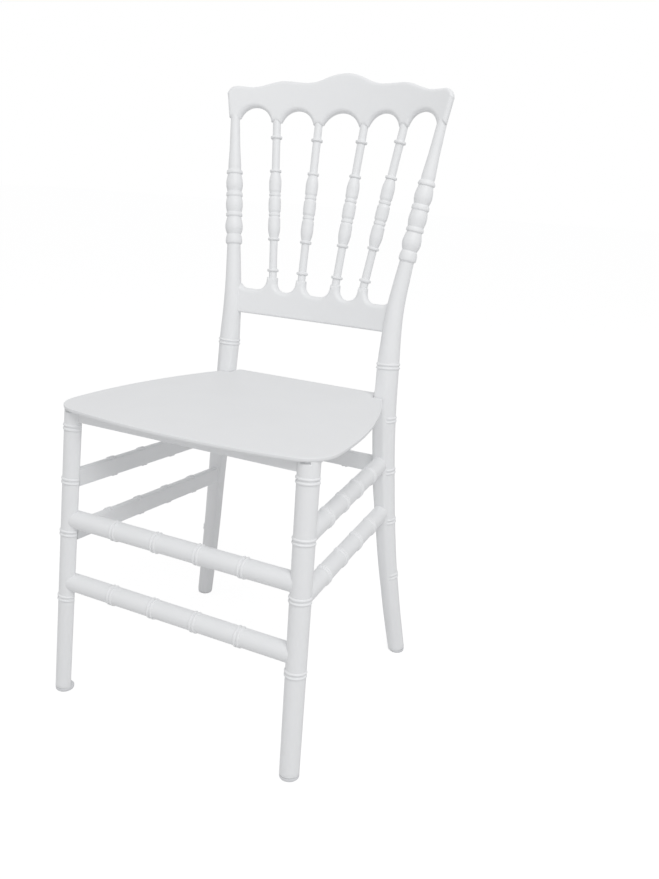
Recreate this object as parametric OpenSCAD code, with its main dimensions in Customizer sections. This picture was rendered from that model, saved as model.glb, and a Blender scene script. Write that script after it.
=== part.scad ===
// Banquet chair of moulded white plastic. A crest rail with scalloped edges stands on two
// turned back posts and four turned spindles. The legs and stretchers have pairs of raised
// rings like bamboo. A thin seat panel lies on a frame of four rails, over four corner blocks.
// X runs across the chair, the front faces -Y, Z is up, and the feet stand on Z = 0.

/* [Seat] */
// Height of the seat's top face above the floor
seat_h = 440; // [425:1:455]
// Thickness of the seat panel
seat_t = 6; // [5:0.5:9]
// Greatest width of the seat panel
seat_w = 424; // [410:1:440]
// Distance of the seat's front edge from the chair's centre plane
seat_front = 181; // [176:1:190]
// Distance of the seat's rear edge from the chair's centre plane
seat_rear = 194; // [190:1:200]
// How far the front edge falls back from its middle to the corners
seat_bow = 24; // [15:1:30]
// Radius of the two front corners
seat_corner_r = 49; // [40:1:60]
// Width of the seat panel just in front of the back posts
seat_rear_w = 302; // [296:1:320]
// Gap between the seat panel and the back posts that pass through its rear corners
notch_gap = 1.5; // [0.5:0.5:3]
// Radius of the corners of the panel's tongue, and of its corners before the posts
rear_corner_r = 6; // [3:0.5:8]
// Diameter of the screw bosses under the panel
boss_d = 13; // [10:0.5:14]
// Height of the screw bosses under the panel
boss_h = 4; // [3:0.5:7]

/* [Seat frame] */
// Height of the four seat rails
rail_h = 17; // [16:1:24]
// Thickness of the four seat rails
rail_t = 15; // [12:1:18]
// Side of a corner block along each rail
block_side = 44; // [38:1:52]
// Height of a corner block
block_h = 13; // [10:1:14]
// Thickness of a corner block under the head of the screw that holds it to its rail
block_web = 6; // [4:0.5:8]
// Diameter of the shank of the screws
screw_d = 4.5; // [3.5:0.5:5.5]
// Diameter of the head of the screws
screw_head_d = 9; // [8:0.5:10]
// Height of the head of the screws
screw_head_h = 3; // [2:0.5:4]
// Depth of each screw in the piece that it holds
screw_bite = 8; // [6:0.5:9]

/* [Front legs] */
// Distance of a front leg's axis at the seat inside the widest edge of the panel
front_side_in = 27.5; // [24:0.5:31]
// Distance of a front leg's axis at the seat behind the panel's front edge
front_leg_back = 39; // [35:1:42]
// Distance by which a front leg spreads to the side from the seat to the floor
front_splay = 10.5; // [4:0.5:14]
// Distance by which a front leg reaches forwards from the seat to the floor
front_reach = 32; // [20:1:36]
// Diameter of a front leg at the floor
front_foot_d = 27; // [25:0.5:29]
// Diameter of a front leg at the seat
front_top_d = 29.5; // [28:0.5:32]
// Distance of the flat inner side from the leg's axis, as a share of its radius
front_flat = 0.6; // [0.5:0.05:0.8]
// Width of the clip window in the leg's top
clip_w = 10; // [6:0.5:12]
// Height of the clip window
clip_h = 3.5; // [2:0.5:5]
// Depth of the clip window behind the leg's foremost line, beyond half the leg's radius
clip_depth = 3; // [2:0.5:4]
// Depth of the highest front ring below the seat's top face
front_ring_drop = 32; // [31:1:36]
// Distance between the three upper rings of a front leg
front_ring_step = 78; // [74:1:80]
// Height of the lowest front ring
front_ring_low = 151; // [146:1:153]

/* [Rear legs] */
// Distance between the two rear legs at the floor, from axis to axis
rear_foot_w = 391; // [372:1:400]
// Distance of the rear feet behind the chair's centre plane
rear_foot_y = 197; // [190:1:205]
// Distance between the two rear legs at their bend, from axis to axis
rear_bend_w = 327; // [322:1:332]
// Distance of the bend of a rear leg behind the chair's centre plane
rear_bend_y = 179; // [176:0.5:182]
// Height of the bend of a rear leg, which lies under a ring pair
rear_bend_z = 237.5; // [230:0.5:240]
// Diameter of a rear leg at the floor
rear_foot_d = 25; // [24:0.5:28]
// Diameter of a rear leg at its bend
rear_bend_d = 29; // [27:0.5:30]
// Diameter of a rear leg at the ring pair above the seat
rear_top_d = 33.5; // [31:0.5:34]
// Distance of the flat inner and front sides from the axis, as a share of the radius
rear_flat = 0.92; // [0.85:0.01:0.95]
// Height of the lowest rear ring
rear_ring_low = 140.5; // [130:0.5:150]

/* [Back posts] */
// Height of the ring pair at the foot of a back post above the seat's top face
post_rise = 48; // [42:1:54]
// Distance between the back posts at their feet, from axis to axis
post_foot_w = 289; // [285:1:292]
// Distance of the back posts' feet behind the chair's centre plane
post_foot_y = 185; // [183:0.5:187]
// Height of the bend of a back post, just above the ends of the lower back rail
post_bend_z = 592; // [590:1:596]
// Distance between the back posts at this bend, from axis to axis
post_bend_w = 295; // [291:0.5:299]
// Distance of this bend behind the chair's centre plane
post_bend_y = 195.8; // [194:0.2:198]
// Distance between the back posts at the crest rail, from axis to axis
post_top_w = 356; // [340:1:364]
// Distance of the back posts' tops behind the chair's centre plane
post_top_y = 238; // [225:1:250]
// Height at which the posts enter the crest rail
back_h = 843; // [835:1:855]
// Diameter of a back post at the crest rail
post_top_d = 14.6; // [13:0.2:15.6]
// Diameter of a back post just below its turned part
post_neck_d = 21.6; // [19:0.2:23]
// Greatest diameter of the balls of the turned part
post_ball_d = 29; // [27:0.5:31]
// Diameter of the collars of the turned part
post_collar_d = 27; // [25:0.5:29]
// Diameter between the balls and the collars
post_waist_d = 22.6; // [20:0.2:24]

/* [Spindles] */
// Distance between the two outer spindles at the crest rail
outer_top_w = 222; // [216:1:228]
// Distance between the two inner spindles at the crest rail
inner_top_w = 80; // [76:1:84]
// Distance between the two outer spindles at the lower back rail
outer_foot_w = 164; // [158:1:168]
// Distance between the two inner spindles at the lower back rail
inner_foot_w = 62; // [58:1:66]
// Diameter of the plain part of a spindle
spindle_d = 12.6; // [11.4:0.2:14]
// Greatest diameter of the vases and the barrel of a spindle
spindle_vase_d = 20; // [18:0.2:22]
// Diameter of the rings of a spindle
spindle_ring_d = 18.6; // [17:0.2:20]

/* [Crest rail] */
// Thickness of the crest rail
crest_t = 17; // [15:0.5:20]
// Distance of the crest rail's middle plane behind the posts and spindles that enter it
crest_back = 1.5; // [0:0.5:2.5]
// Height of the crest rail at its two ends
crest_end_h = 51; // [46:1:60]
// Further rise of the crest rail at its middle
crest_mid_rise = 29.5; // [20:0.5:34]
// Further rise of the crest rail at its two side humps
crest_hump_rise = 14; // [8:1:17]
// Half the width of the middle rise
crest_mid_reach = 100; // [90:1:106]
// Distance of each side hump from the middle
crest_hump_x = 100; // [95:1:105]
// Half the width of each side hump
crest_hump_reach = 60; // [50:1:66]
// Rise of the arches between the spindles
crest_arch_h = 20.5; // [16:0.5:22]
// Width of the feet that the posts and spindles enter
crest_foot_w = 16.5; // [16:0.5:19]
// Radius of the crest rail's upper corners
crest_corner_r = 16; // [8:1:20]
// Distance by which the middle of the crest rail stands further back than its ends
crest_bow = 32; // [20:1:40]

/* [Lower back rail] */
// Height of the lower edge of the lower back rail
low_rail_z = 538; // [530:1:545]
// Height of the lower back rail in the hollows between the spindles
low_rail_h = 41; // [34:1:46]
// Height of the lower back rail under the spindles
low_peak_h = 63; // [58:1:68]
// Thickness of the lower back rail
low_rail_t = 17; // [15:0.5:19]
// Width of a peak under a spindle
low_peak_w = 16.5; // [15.5:0.5:18]
// Radius of the hollows' corners
low_hollow_r = 16; // [10:1:17]
// Height at the posts of the round corners of the outer hollows, above their lowest line
low_corner_h = 7; // [4:0.5:10]
// Distance by which the middle of the lower back rail stands further back than its ends
low_rail_bow = 19; // [8:1:24]

/* [Stretchers] */
// Diameter of the round outer side of the stretchers
stretcher_d = 27; // [24:0.5:28]
// Distance of the flat inner side from the axis, as a share of the radius
stretcher_flat = 0.45; // [0.3:0.05:0.6]
// Height of the upper side stretchers' axes
side_upper_z = 332; // [326:1:338]
// Height of the lower side stretchers' axes
side_lower_z = 251; // [245:1:257]
// Height of the upper front stretcher's axis
front_upper_z = 272; // [271:1:282]
// Height of the lower front stretcher's axis
front_lower_z = 175; // [171:1:182]
// Height of the rear stretcher's axis
rear_stretcher_z = 328; // [320:1:334]
// Distance between the ring pairs of a stretcher, as a share of its length
group_step = 0.185; // [0.16:0.005:0.2]

/* [Rings and joints] */
// Radius of the cross-section of one raised ring
bead_r = 1.7; // [1.5:0.1:2.2]
// Distance between the two rings of a pair
bead_pitch = 5.6; // [4.8:0.1:6.2]
// Diameter of the tenons of stretchers and rails
tenon_d = 10; // [8:0.5:10]
// Length of the tenons of stretchers and rails inside a leg
tenon_len = 7.5; // [6:0.5:8]
// Diameter of the tenons of posts and spindles
pin_d = 8; // [6:0.5:9]
// Length of the tenons of posts and spindles
pin_len = 13; // [10:1:16]
// Clearance all round a tenon, a screw or a shaped shoulder
fit_gap = 0.1; // [0.05:0.01:0.2]

/* [Feet] */
// Visible height of the glides under the legs
glide_h = 5; // [4:0.5:8]
// Diameter of the stem of a glide in its leg
glide_stem_d = 9; // [7:0.5:10]
// Length of the stem of a glide
glide_stem_len = 16; // [10:1:20]
// Chamfer round the lower edge of a glide
glide_chamfer = 2; // [1:0.5:3]

/* [Hidden] */

$fn = 64;
white = [0.90, 0.905, 0.91];
steel = [0.72, 0.73, 0.75];
// A size longer than any piece, for cutting tools that pass right through
beyond = 600;
// Overlap of a cutting tool with the open air, so that no two faces fall together
over = 1;
// Depth of the centre of a ring's cross-section under the surface that it stands on
bead_sink = 0.2;
// The bands that join the straight parts of a rear leg under two of its ring pairs: half their
// height, which holds the ring pair and a margin on both sides, how far they stand out, and how
// far from the bends the straight parts stop
band_margin = 0.7;
band_half = bead_pitch / 2 + bead_r + band_margin;
bend_rise = 0.6;
bend_short = 1.2;
// At the post's bend its two parts meet in a plane: the step between them, and how far each is
// made too long before it is cut there
mitre_step = 0.3;
mitre_over = 4;
// Number of equal steps between the ring pairs from the bend to the post's foot
upper_ring_steps = 3;
// Place behind the axis where the rings of a front leg stop, as a share of the leg's radius
ring_stop = 0.33;
// Place behind the axis where the square corner of a rear leg starts, as a share of its radius
corner_back = 0.25;
// Angles from the outer side of a rear leg at which its ring pairs start, and that they span
ring_from = -58;
ring_sweep = 168;
// The turned part of a post, as depths below the crest rail: its start, the lower and upper end
// of each ball with the upper end of the last collar, and a place in the taper above it
turned_drop = 197;
ball_drops = [[181, 154], [146, 122.5], [114, 87.5], [79]];
neck_drop = 43;
// How much thicker the post is at that place than at its top, how much thinner each ball is than
// the one below it, and the share of its length at which a ball is fullest
neck_swell = 1.2;
ball_step = 0.3;
ball_fullest = 0.45;
// The turned part of a spindle, as shares of its length: the middles of its rings, the ends of
// its two vases and of the barrel between them, and the length over which a vase swells
spindle_rings = [0.036, 0.232, 0.4, 0.515, 0.68, 0.888];
low_vase = [0.25, 0.385];
barrel = [0.435, 0.48];
top_vase = [0.53, 0.665];
vase_swell = 0.09;
// Radius of a vase's neck between that of the plain part and the fullest one, as a share, and
// the depth of the grooves beside the barrel's rings below the neck
neck_share = 0.75;
groove = 0.4;
// Half the height of a spindle's ring
ring_half = 2.3;
// Distance of a boss from the long face of its corner block, and of the screw that holds the
// block from the block's end
boss_in = 5;
block_screw_in = 12;
// Distance inside a post's neck at which the hollow of the lower back rail beside it ends, so
// that its round corner runs up the post
hollow_in = 3;
// Step between the flat sides of the side stretchers and of the rear legs, and the distance of
// the side stretchers' front ends inwards from the front legs' axes
flush_step = 1;
side_front_in = 1.5;
// Number of straight edges in the crest rail's top curve
crest_steps = 76;
// Number of straight edges in each round corner of the seat, and in the small ones at its rear
corner_steps = 12;
rear_corner_steps = 6;
// Directions from X to the front and to the rear, and the direction in which the panel's round
// corner before a back post starts
to_front = -90;
to_rear = 90;
notch_from = 30;
// Height of the seat panel's underside, and of the seat rails' middle
seat_under = seat_h - seat_t;
rail_z = seat_under - rail_h / 2;

// The axes of the right-hand legs and post, from below to above
front_top = [seat_w / 2 - front_side_in, front_leg_back - seat_front, seat_h];
front_foot = [front_top[0] + front_splay, front_top[1] - front_reach, 0];
rear_foot = [rear_foot_w / 2, rear_foot_y, 0];
post_foot = [post_foot_w / 2, post_foot_y, seat_h + post_rise];
post_bend = [post_bend_w / 2, post_bend_y, post_bend_z];
post_top = [post_top_w / 2, post_top_y, back_h];

// The axis of a rear leg runs straight from each of these points to the next
rear_bend = [rear_bend_w / 2, rear_bend_y, rear_bend_z];
rear_points = [rear_foot, rear_bend, post_foot, post_bend, post_top];
rear_ring_step = (post_foot[2] - rear_bend_z) / upper_ring_steps;

// Angle of the back posts and rails behind the vertical
rake = atan2(post_top_y - post_bend_y, back_h - post_bend_z);

function along(p, q, t) = p + (q - p) * t;
function at_height(p, q, z) = along(p, q, (z - p[2]) / (q[2] - p[2]));
function front_axis(z) = at_height(front_foot, front_top, z);
function front_r(z) = (front_foot_d + (front_top_d - front_foot_d) * z / seat_h) / 2;
// Radius of the rear leg and of the plain part of its post at a height, and their axis
function rear_r(z) = lookup(z, [[0, rear_foot_d / 2], [rear_bend_z, rear_bend_d / 2],
    [post_foot[2], rear_top_d / 2], [back_h - turned_drop, post_neck_d / 2]]);
function rear_part(z) =
    z < rear_bend_z ? 0 : z < post_foot[2] ? 1 : z < post_bend_z ? 2 : 3;
function rear_axis(z) =
    at_height(rear_points[rear_part(z)], rear_points[rear_part(z) + 1], z);
function unit(v) = v / norm(v);
// Direction halfway between the directions of the parts that meet at a point of the axis
function between(k) =
    unit(rear_points[k] - rear_points[k - 1]) + unit(rear_points[k + 1] - rear_points[k]);
function mirrored(p) = [-p[0], p[1], p[2]];

// Points of an arc about a centre, in the plane
function arc(centre, r, from, to, steps) =
    [for (k = [0:steps]) centre + r * [cos(from + (to - from) * k / steps),
                                       sin(from + (to - from) * k / steps)]];
// A hump that falls smoothly from 1 at 0 to nothing at 1
function hump(t) = abs(t) < 1 ? pow(cos(90 * t), 2) : 0;
// Radius of a bow with this rise over a chord from -half to half, and its depth at x
function bow_radius(half, rise) = (half * half + rise * rise) / (2 * rise);
function bow_depth(x, half, rise) =
    sqrt(pow(bow_radius(half, rise), 2) - x * x) - bow_radius(half, rise) + rise;

// Turns Z from p towards q, and keeps X and Y nearly as they were
module upright(p, q) {
    d = q - p;
    translate(p) rotate([-asin(d[1] / norm(d)), atan2(d[0], d[2]), 0]) children();
}

// Middle of the chair's depth, from the front feet to the back of the crest rail
depth_middle = (post_top_y + (crest_bow + crest_t / 2 + crest_back) * cos(rake)
    + (crest_end_h + crest_mid_rise) * sin(rake) + front_foot[1] - front_foot_d / 2) / 2;

// Moves the middle of the chair's depth to the origin
module placed() {
    translate([0, -depth_middle, 0]) children();
}

module for_side(side) {
    if (side < 0) mirror([1, 0, 0]) children();
    else children();
}

// A pair of raised rings round Z on a member of radius r, from one angle on
module ring_pair(r, from = 0, sweep = 360) {
    for (side = [-1, 1]) translate([0, 0, side * bead_pitch / 2]) rotate([0, 0, from])
        rotate_extrude(angle = sweep) translate([r - bead_sink, 0]) circle(bead_r, $fn = 24);
}

// Front legs

// The leg's tapered round body with its flat side towards the middle of the seat frame
module front_leg_body(grow = 0) {
    length = norm(front_top - front_foot);
    foot_r = front_foot_d / 2 + grow;
    top_r = front_top_d / 2 + grow;
    upright(front_foot, front_top) difference() {
        union() {
            cylinder(h = length, r1 = foot_r, r2 = top_r);
            if (grow == 0) front_rings();
        }
        rotate([0, 0, 135]) translate([front_flat * foot_r, -beyond / 2, 0])
            rotate([0, atan2(front_flat * (top_r - foot_r), length), 0])
            translate([0, 0, -over]) cube([beyond, beyond, length + 2 * over]);
    }
}

// Ring pairs on the front of the leg; they stop where the side stretchers join
module front_rings() {
    top_ring = seat_h - front_ring_drop;
    stretch = norm(front_top - front_foot) / seat_h;
    for (z = [front_ring_low, top_ring - 2 * front_ring_step, top_ring - front_ring_step, top_ring])
        difference() {
            translate([0, 0, z * stretch]) ring_pair(front_r(z));
            translate([-beyond / 2, ring_stop * front_r(z), z - beyond / 2]) cube(beyond);
        }
}

module front_leg(side) {
    color(white) for_side(side) difference() {
        front_leg_body();
        translate([0, -beyond, glide_h - beyond]) cube([beyond, beyond, beyond]);
        translate([0, -beyond, seat_under]) cube([beyond, beyond, beyond]);
        glide_bore(front_axis(glide_h));
        for (z = [front_upper_z, front_lower_z]) tenon_bore(front_axis(z), mirrored(front_axis(z)));
        tenon_bore(front_axis(rail_z), mirrored(front_axis(rail_z)));
        for (z = [side_upper_z, side_lower_z]) tenon_bore(side_front(z), side_rear(z));
        tenon_bore(rail_front, rail_rear);
        clip_window();
    }
}

// A small window for the panel's clip, in the front of the leg's top
module clip_window() {
    top = front_axis(seat_under);
    translate([top[0] - clip_w / 2, top[1] - front_top_d, seat_under - clip_h])
        cube([clip_w, front_top_d / 2 + clip_depth, clip_h + over]);
}

// Rear legs with their back posts

// One tapered part of the leg below the post's foot; it stops short of the bands that join parts
module rear_leg_part(k, grow) {
    p = rear_points[k];
    q = rear_points[k + 1];
    first = k == 0 ? 0 : bend_short;
    upright(p, q) translate([0, 0, first]) cylinder(h = norm(q - p) - first - bend_short,
        r1 = rear_r(p[2]) + grow, r2 = rear_r(q[2]) + grow);
}

// The tapered part from the post's foot to its bend, cut off in the plane of the bend
module post_foot_part(grow) {
    length = norm(post_bend - post_foot);
    more = (length + mitre_over) / length;
    foot_r = rear_r(post_foot[2]);
    difference() {
        upright(post_foot, post_bend) translate([0, 0, bend_short])
            cylinder(h = length + mitre_over - bend_short, r1 = foot_r + grow,
                r2 = foot_r + (rear_r(post_bend_z) - foot_r) * more + grow);
        upright(post_bend, post_bend + between(3)) translate([-beyond / 2, -beyond / 2, 0])
            cube(beyond);
    }
}

// A lathe shape round the post above its bend, cut off in the same plane
module post_lathe(profile) {
    difference() {
        upright(post_bend, post_top) rotate_extrude() polygon(profile);
        upright(post_bend, post_bend + between(3)) translate([-beyond / 2, -beyond / 2, -beyond])
            cube(beyond);
    }
}

// A band round the axis at one of its points, and the ring pair on it
module ring_band(k, from, sweep) {
    r = rear_r(rear_points[k][2]);
    upright(rear_points[k], rear_points[k] + between(k))
        ring_pair(r + bend_rise / 2, from, sweep);
}

module plain_band(k) {
    upright(rear_points[k], rear_points[k] + between(k)) translate([0, 0, -band_half])
        cylinder(h = 2 * band_half, r = rear_r(rear_points[k][2]) + bend_rise);
}

module rear_leg_body() {
    reach = rear_flat * rear_bend_d / 2;
    for (k = [0, 1]) rear_leg_part(k, 0);
    intersection() {
        plain_band(1);
        upright(rear_bend, rear_bend + between(1)) translate([-reach, -reach, -beyond / 2])
            cube(beyond);
    }
    rear_leg_corner(0);
}

// The leg with a clearance all round, for shaping the shoulders that meet it
module rear_leg_shell(grow = fit_gap) {
    for (k = [0, 1]) rear_leg_part(k, grow);
    rear_leg_corner(grow);
}

// The square inner corner of the leg, flat towards the seat's middle and towards the front
module rear_leg_corner(grow) {
    heights = [0, rear_bend_z, seat_under];
    reach = [for (z = heights) rear_flat * rear_r(z) + grow];
    back = [for (z = heights) corner_back * rear_r(z)];
    intersection() {
        translate([0, beyond / 2, 0]) rotate([90, 0, 0]) linear_extrude(beyond) polygon(concat(
            [for (k = [0:2]) [rear_axis(heights[k])[0] + back[k], heights[k]]],
            [for (k = [2:-1:0]) [rear_axis(heights[k])[0] - reach[k], heights[k]]]));
        rotate([90, 0, 90]) linear_extrude(beyond) polygon(concat(
            [for (k = [0:2]) [rear_axis(heights[k])[1] + back[k], heights[k]]],
            [for (k = [2:-1:0]) [rear_axis(heights[k])[1] - reach[k], heights[k]]]));
    }
}

// Ring pairs on the outer and rear sides of the leg, clear of the stretchers
module rear_rings() {
    for (z = [rear_ring_low, rear_bend_z + rear_ring_step, rear_bend_z + 2 * rear_ring_step])
        upright(rear_axis(z), rear_points[rear_part(z) + 1])
        ring_pair(rear_r(z), ring_from, ring_sweep);
    ring_band(1, ring_from, ring_sweep);
}

// Distance along the post's axis from its bend to a depth below the crest rail
post_slant = norm(post_top - post_bend) / (back_h - post_bend_z);
function below_crest(drop) = (back_h - drop - post_bend_z) * post_slant;
// The plain cone above the bend, as [radius, distance], from a little below the bend
plain_taper = (rear_r(post_bend_z) - post_neck_d / 2) / below_crest(turned_drop);
function post_cone(grow) = [[0, -mitre_over],
    [rear_r(post_bend_z) + plain_taper * mitre_over + grow, -mitre_over],
    [post_neck_d / 2 + grow, below_crest(turned_drop)]];

// Half the outline of the back post, as [radius, distance along its axis]. The turned part hangs
// from the crest rail, so that it keeps its place below it: a broad collar, then three balls
// with a narrow collar above each, and a taper to the top.
function post_profile() =
    let (ball = post_ball_d / 2, collar = post_collar_d / 2, waist = post_waist_d / 2)
    concat(post_cone(-mitre_step),
        [for (p = collar_profile(post_neck_d / 2, collar, below_crest(turned_drop),
            below_crest(ball_drops[0][0]))) if (p[1] > below_crest(turned_drop)) p],
        [for (k = [0:2]) each concat(
            swell(waist, ball - k * ball_step, below_crest(ball_drops[k][0]),
                below_crest(ball_drops[k][1]), ball_fullest),
            collar_profile(waist, collar, below_crest(ball_drops[k][1]),
                below_crest(ball_drops[k + 1][0])))],
        [[post_top_d / 2 + neck_swell, below_crest(neck_drop)],
         [post_top_d / 2, below_crest(0) + over], [0, below_crest(0) + over]]);

// A swelling between two waists, fullest at a share of its length
function swell(waist, full, from, to, fullest) =
    [for (k = [1:9]) let (t = k / 10, u = t < fullest ? t / fullest : (1 - t) / (1 - fullest))
        [waist + (full - waist) * sin(90 * u), from + (to - from) * t]];

// A rounded collar or ring that stands on a waist; the power below one makes it full
function collar_profile(waist, full, from, to) =
    [for (k = [0:6]) [waist + (full - waist) * pow(sin(30 * k), 0.6), from + (to - from) * k / 6]];

module back_post() {
    difference() {
        post_lathe(post_profile());
        crest_frame() translate([0, -beyond / 2, 0]) cube([beyond, beyond, beyond]);
    }
    upright(post_top, post_top + (post_top - post_bend)) translate([0, 0, -pin_len])
        cylinder(h = 2 * pin_len, d = pin_d);
    post_foot_part(0);
    plain_band(2);
    ring_band(2, 0, 360);
}

module rear_leg(side) {
    color(white) for_side(side) difference() {
        union() {
            rear_leg_body();
            rear_rings();
            back_post();
        }
        translate([0, 0, glide_h - beyond]) cube([beyond, beyond, beyond]);
        glide_bore(rear_axis(glide_h));
        tenon_bore(rear_axis(rear_stretcher_z), mirrored(rear_axis(rear_stretcher_z)));
        tenon_bore(rear_axis(rail_z), mirrored(rear_axis(rail_z)));
        for (z = [side_upper_z, side_lower_z]) tenon_bore(side_rear(z), side_front(z));
        tenon_bore(rail_rear, rail_front);
        level(low_rail_end, mirrored(low_rail_end)) translate([0, 0, tenon_start() - fit_gap])
            cylinder(h = rear_top_d / 2, d = pin_d + 2 * fit_gap);
    }
}

// Tenons between members

// Turns Z along the level line from p to q; local Y stays level and local X points down
module level(p, q) {
    d = q - p;
    translate(p) rotate([0, 90, atan2(d[1], d[0])]) children();
}

// Distance from the leg's axis at which a tenon ends
function tenon_start() = front_top_d / 2 - tenon_len;

module tenon_bore(p, q) {
    level(p, q) translate([0, 0, tenon_start() - fit_gap])
        cylinder(h = front_top_d, d = tenon_d + 2 * fit_gap);
}

module tenon_rod(p, q) {
    level(p, q) translate([0, 0, tenon_start()])
        cylinder(h = norm(q - p) - 2 * tenon_start(), d = tenon_d);
}

// Stretchers

// Ends of the side stretchers' axes: close to the front leg's axis, and at the rear far enough
// inwards for the flat side to lie one step outside the rear leg's flat side
function side_front(z) = front_axis(z) - [side_front_in, 0, 0];
function side_rear(z) = rear_axis(z)
    - [rear_flat * rear_r(z) - stretcher_flat * stretcher_d / 2 - flush_step, 0, 0];

// A bar with a round outer side, a flat inner side and four pairs of rings
module stretcher_bar(p, q, flat_side) {
    length = norm(q - p);
    r = stretcher_d / 2;
    level(p, q) difference() {
        union() {
            cylinder(h = length, r = r);
            for (k = [-1.5:1.5]) translate([0, 0, length * (0.5 + k * group_step)]) ring_pair(r);
        }
        translate([-beyond / 2, flat_side > 0 ? stretcher_flat * r : -stretcher_flat * r - beyond,
                   -over]) cube([beyond, beyond, length + 2 * over]);
    }
}

module front_stretcher(z) {
    p = mirrored(front_axis(z));
    q = front_axis(z);
    color(white) {
        difference() {
            stretcher_bar(p, q, 1);
            for (side = [-1, 1]) for_side(side) front_leg_body(fit_gap);
        }
        tenon_rod(p, q);
    }
}

module side_stretcher(side, z) {
    color(white) for_side(side) {
        difference() {
            stretcher_bar(side_front(z), side_rear(z), 1);
            front_leg_body(fit_gap);
            rear_leg_shell();
        }
        tenon_rod(side_front(z), side_rear(z));
    }
}

module rear_stretcher() {
    p = mirrored(rear_axis(rear_stretcher_z));
    q = rear_axis(rear_stretcher_z);
    color(white) {
        difference() {
            stretcher_bar(p, q, -1);
            for (side = [-1, 1]) for_side(side) rear_leg_shell();
        }
        tenon_rod(p, q);
    }
}

// Seat frame

rail_front = front_axis(rail_z);
rail_rear = rear_axis(rail_z);

module seat_rail_bar(p, q) {
    level(p, q) translate([-rail_h / 2, -rail_t / 2, 0]) cube([rail_h, rail_t, norm(q - p)]);
}

module side_seat_rail(side) {
    color(white) for_side(side) {
        difference() {
            seat_rail_bar(rail_front, rail_rear);
            front_leg_body(fit_gap);
            rear_leg_shell();
        }
        tenon_rod(rail_front, rail_rear);
    }
}

module front_seat_rail() {
    color(white) difference() {
        union() {
            difference() {
                seat_rail_bar(mirrored(rail_front), rail_front);
                for (side = [-1, 1]) for_side(side) front_leg_body(fit_gap);
            }
            tenon_rod(mirrored(rail_front), rail_front);
        }
        rail_screw_holes(front_corner, 1);
    }
}

module rear_seat_rail() {
    color(white) difference() {
        union() {
            difference() {
                seat_rail_bar(mirrored(rail_rear), rail_rear);
                for (side = [-1, 1]) for_side(side) rear_leg_shell();
            }
            tenon_rod(mirrored(rail_rear), rail_rear);
        }
        rail_screw_holes(rear_corner, -1);
    }
}

// Angle of the right side rail from front to rear, and the inner corners of the frame
rail_turn = atan2(rail_front[0] - rail_rear[0], rail_rear[1] - rail_front[1]);
function inner_x(y) = rail_front[0] - rail_t / 2 / cos(rail_turn)
    - (y - rail_front[1]) * tan(rail_turn);
front_corner = [inner_x(rail_front[1] + rail_t / 2), rail_front[1] + rail_t / 2];
rear_corner = [inner_x(rail_rear[1] - rail_t / 2), rail_rear[1] - rail_t / 2];
// Height of the corner blocks' top face, just under the panel's bosses
block_top = seat_under - boss_h;

// Middle of a block's long face, and its direction towards the leg in the corner
function rail_dir(facing) = facing * [-sin(rail_turn), cos(rail_turn)];
function block_a(corner) = corner + [-block_side, 0];
function block_b(corner, facing) = corner + block_side * rail_dir(facing);
function block_mid(corner, facing) = (block_a(corner) + block_b(corner, facing)) / 2;
function block_out(corner, facing) =
    (corner - block_mid(corner, facing)) / norm(corner - block_mid(corner, facing));
function block_boss(corner, facing) =
    block_mid(corner, facing) + boss_in * block_out(corner, facing);

// Place of the screw that holds a block to the front or rear rail, and its free end
function block_screw_at(corner, facing) =
    [corner[0] - block_side + block_screw_in, corner[1], block_top - block_h / 2];

module facing_rail(corner, facing) {
    translate(block_screw_at(corner, facing)) rotate([facing * 90, 0, 0]) children();
}

module corner_block(corner, facing, side) {
    color(white) for_side(side) difference() {
        translate([0, 0, block_top - block_h]) linear_extrude(block_h)
            polygon([corner, block_a(corner), block_b(corner, facing)]);
        if (facing > 0) front_leg_body(over);
        else rear_leg_shell(over);
        translate(concat(block_boss(corner, facing), [block_top - block_h - over]))
            cylinder(h = block_h + 2 * over, d = screw_d + 2 * fit_gap, $fn = 32);
        facing_rail(corner, facing) translate([0, 0, -beyond / 2])
            cylinder(h = beyond, d = screw_d + 2 * fit_gap, $fn = 32);
        facing_rail(corner, facing) translate([0, 0, -beyond - block_web])
            cylinder(h = beyond, d = screw_head_d + 2 * over, $fn = 32);
    }
}

module corner_block_screws() {
    color(steel) for (side = [-1, 1], end = [[front_corner, 1], [rear_corner, -1]])
        for_side(side) facing_rail(end[0], end[1]) {
            translate([0, 0, -block_web]) cylinder(h = block_web + screw_bite, d = screw_d, $fn = 32);
            translate([0, 0, -block_web - screw_head_h])
                cylinder(h = screw_head_h, d = screw_head_d, $fn = 32);
        }
}

// Blind holes in the front or rear rail for the block screws
module rail_screw_holes(corner, facing) {
    for (side = [-1, 1]) for_side(side) facing_rail(corner, facing) translate([0, 0, -over])
        cylinder(h = screw_bite + over + fit_gap, d = screw_d + 2 * fit_gap, $fn = 32);
}

module seat_screws() {
    color(steel) for (side = [-1, 1], end = [[front_corner, 1], [rear_corner, -1]])
        for_side(side) translate(concat(block_boss(end[0], end[1]), [block_top - block_h])) {
            cylinder(h = block_h + screw_bite, d = screw_d, $fn = 32);
            translate([0, 0, -screw_head_h]) cylinder(h = screw_head_h, d = screw_head_d, $fn = 32);
        }
}

// Seat panel

// The panel keeps its gap from the rear leg at the height of the seat
notch_y = rear_axis(seat_under)[1] - rear_r(seat_h) - notch_gap;
tongue_x = rear_axis(seat_h)[0] - rear_r(seat_h) - notch_gap;
front_bow_r = bow_radius(seat_w / 2, seat_bow);

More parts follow.
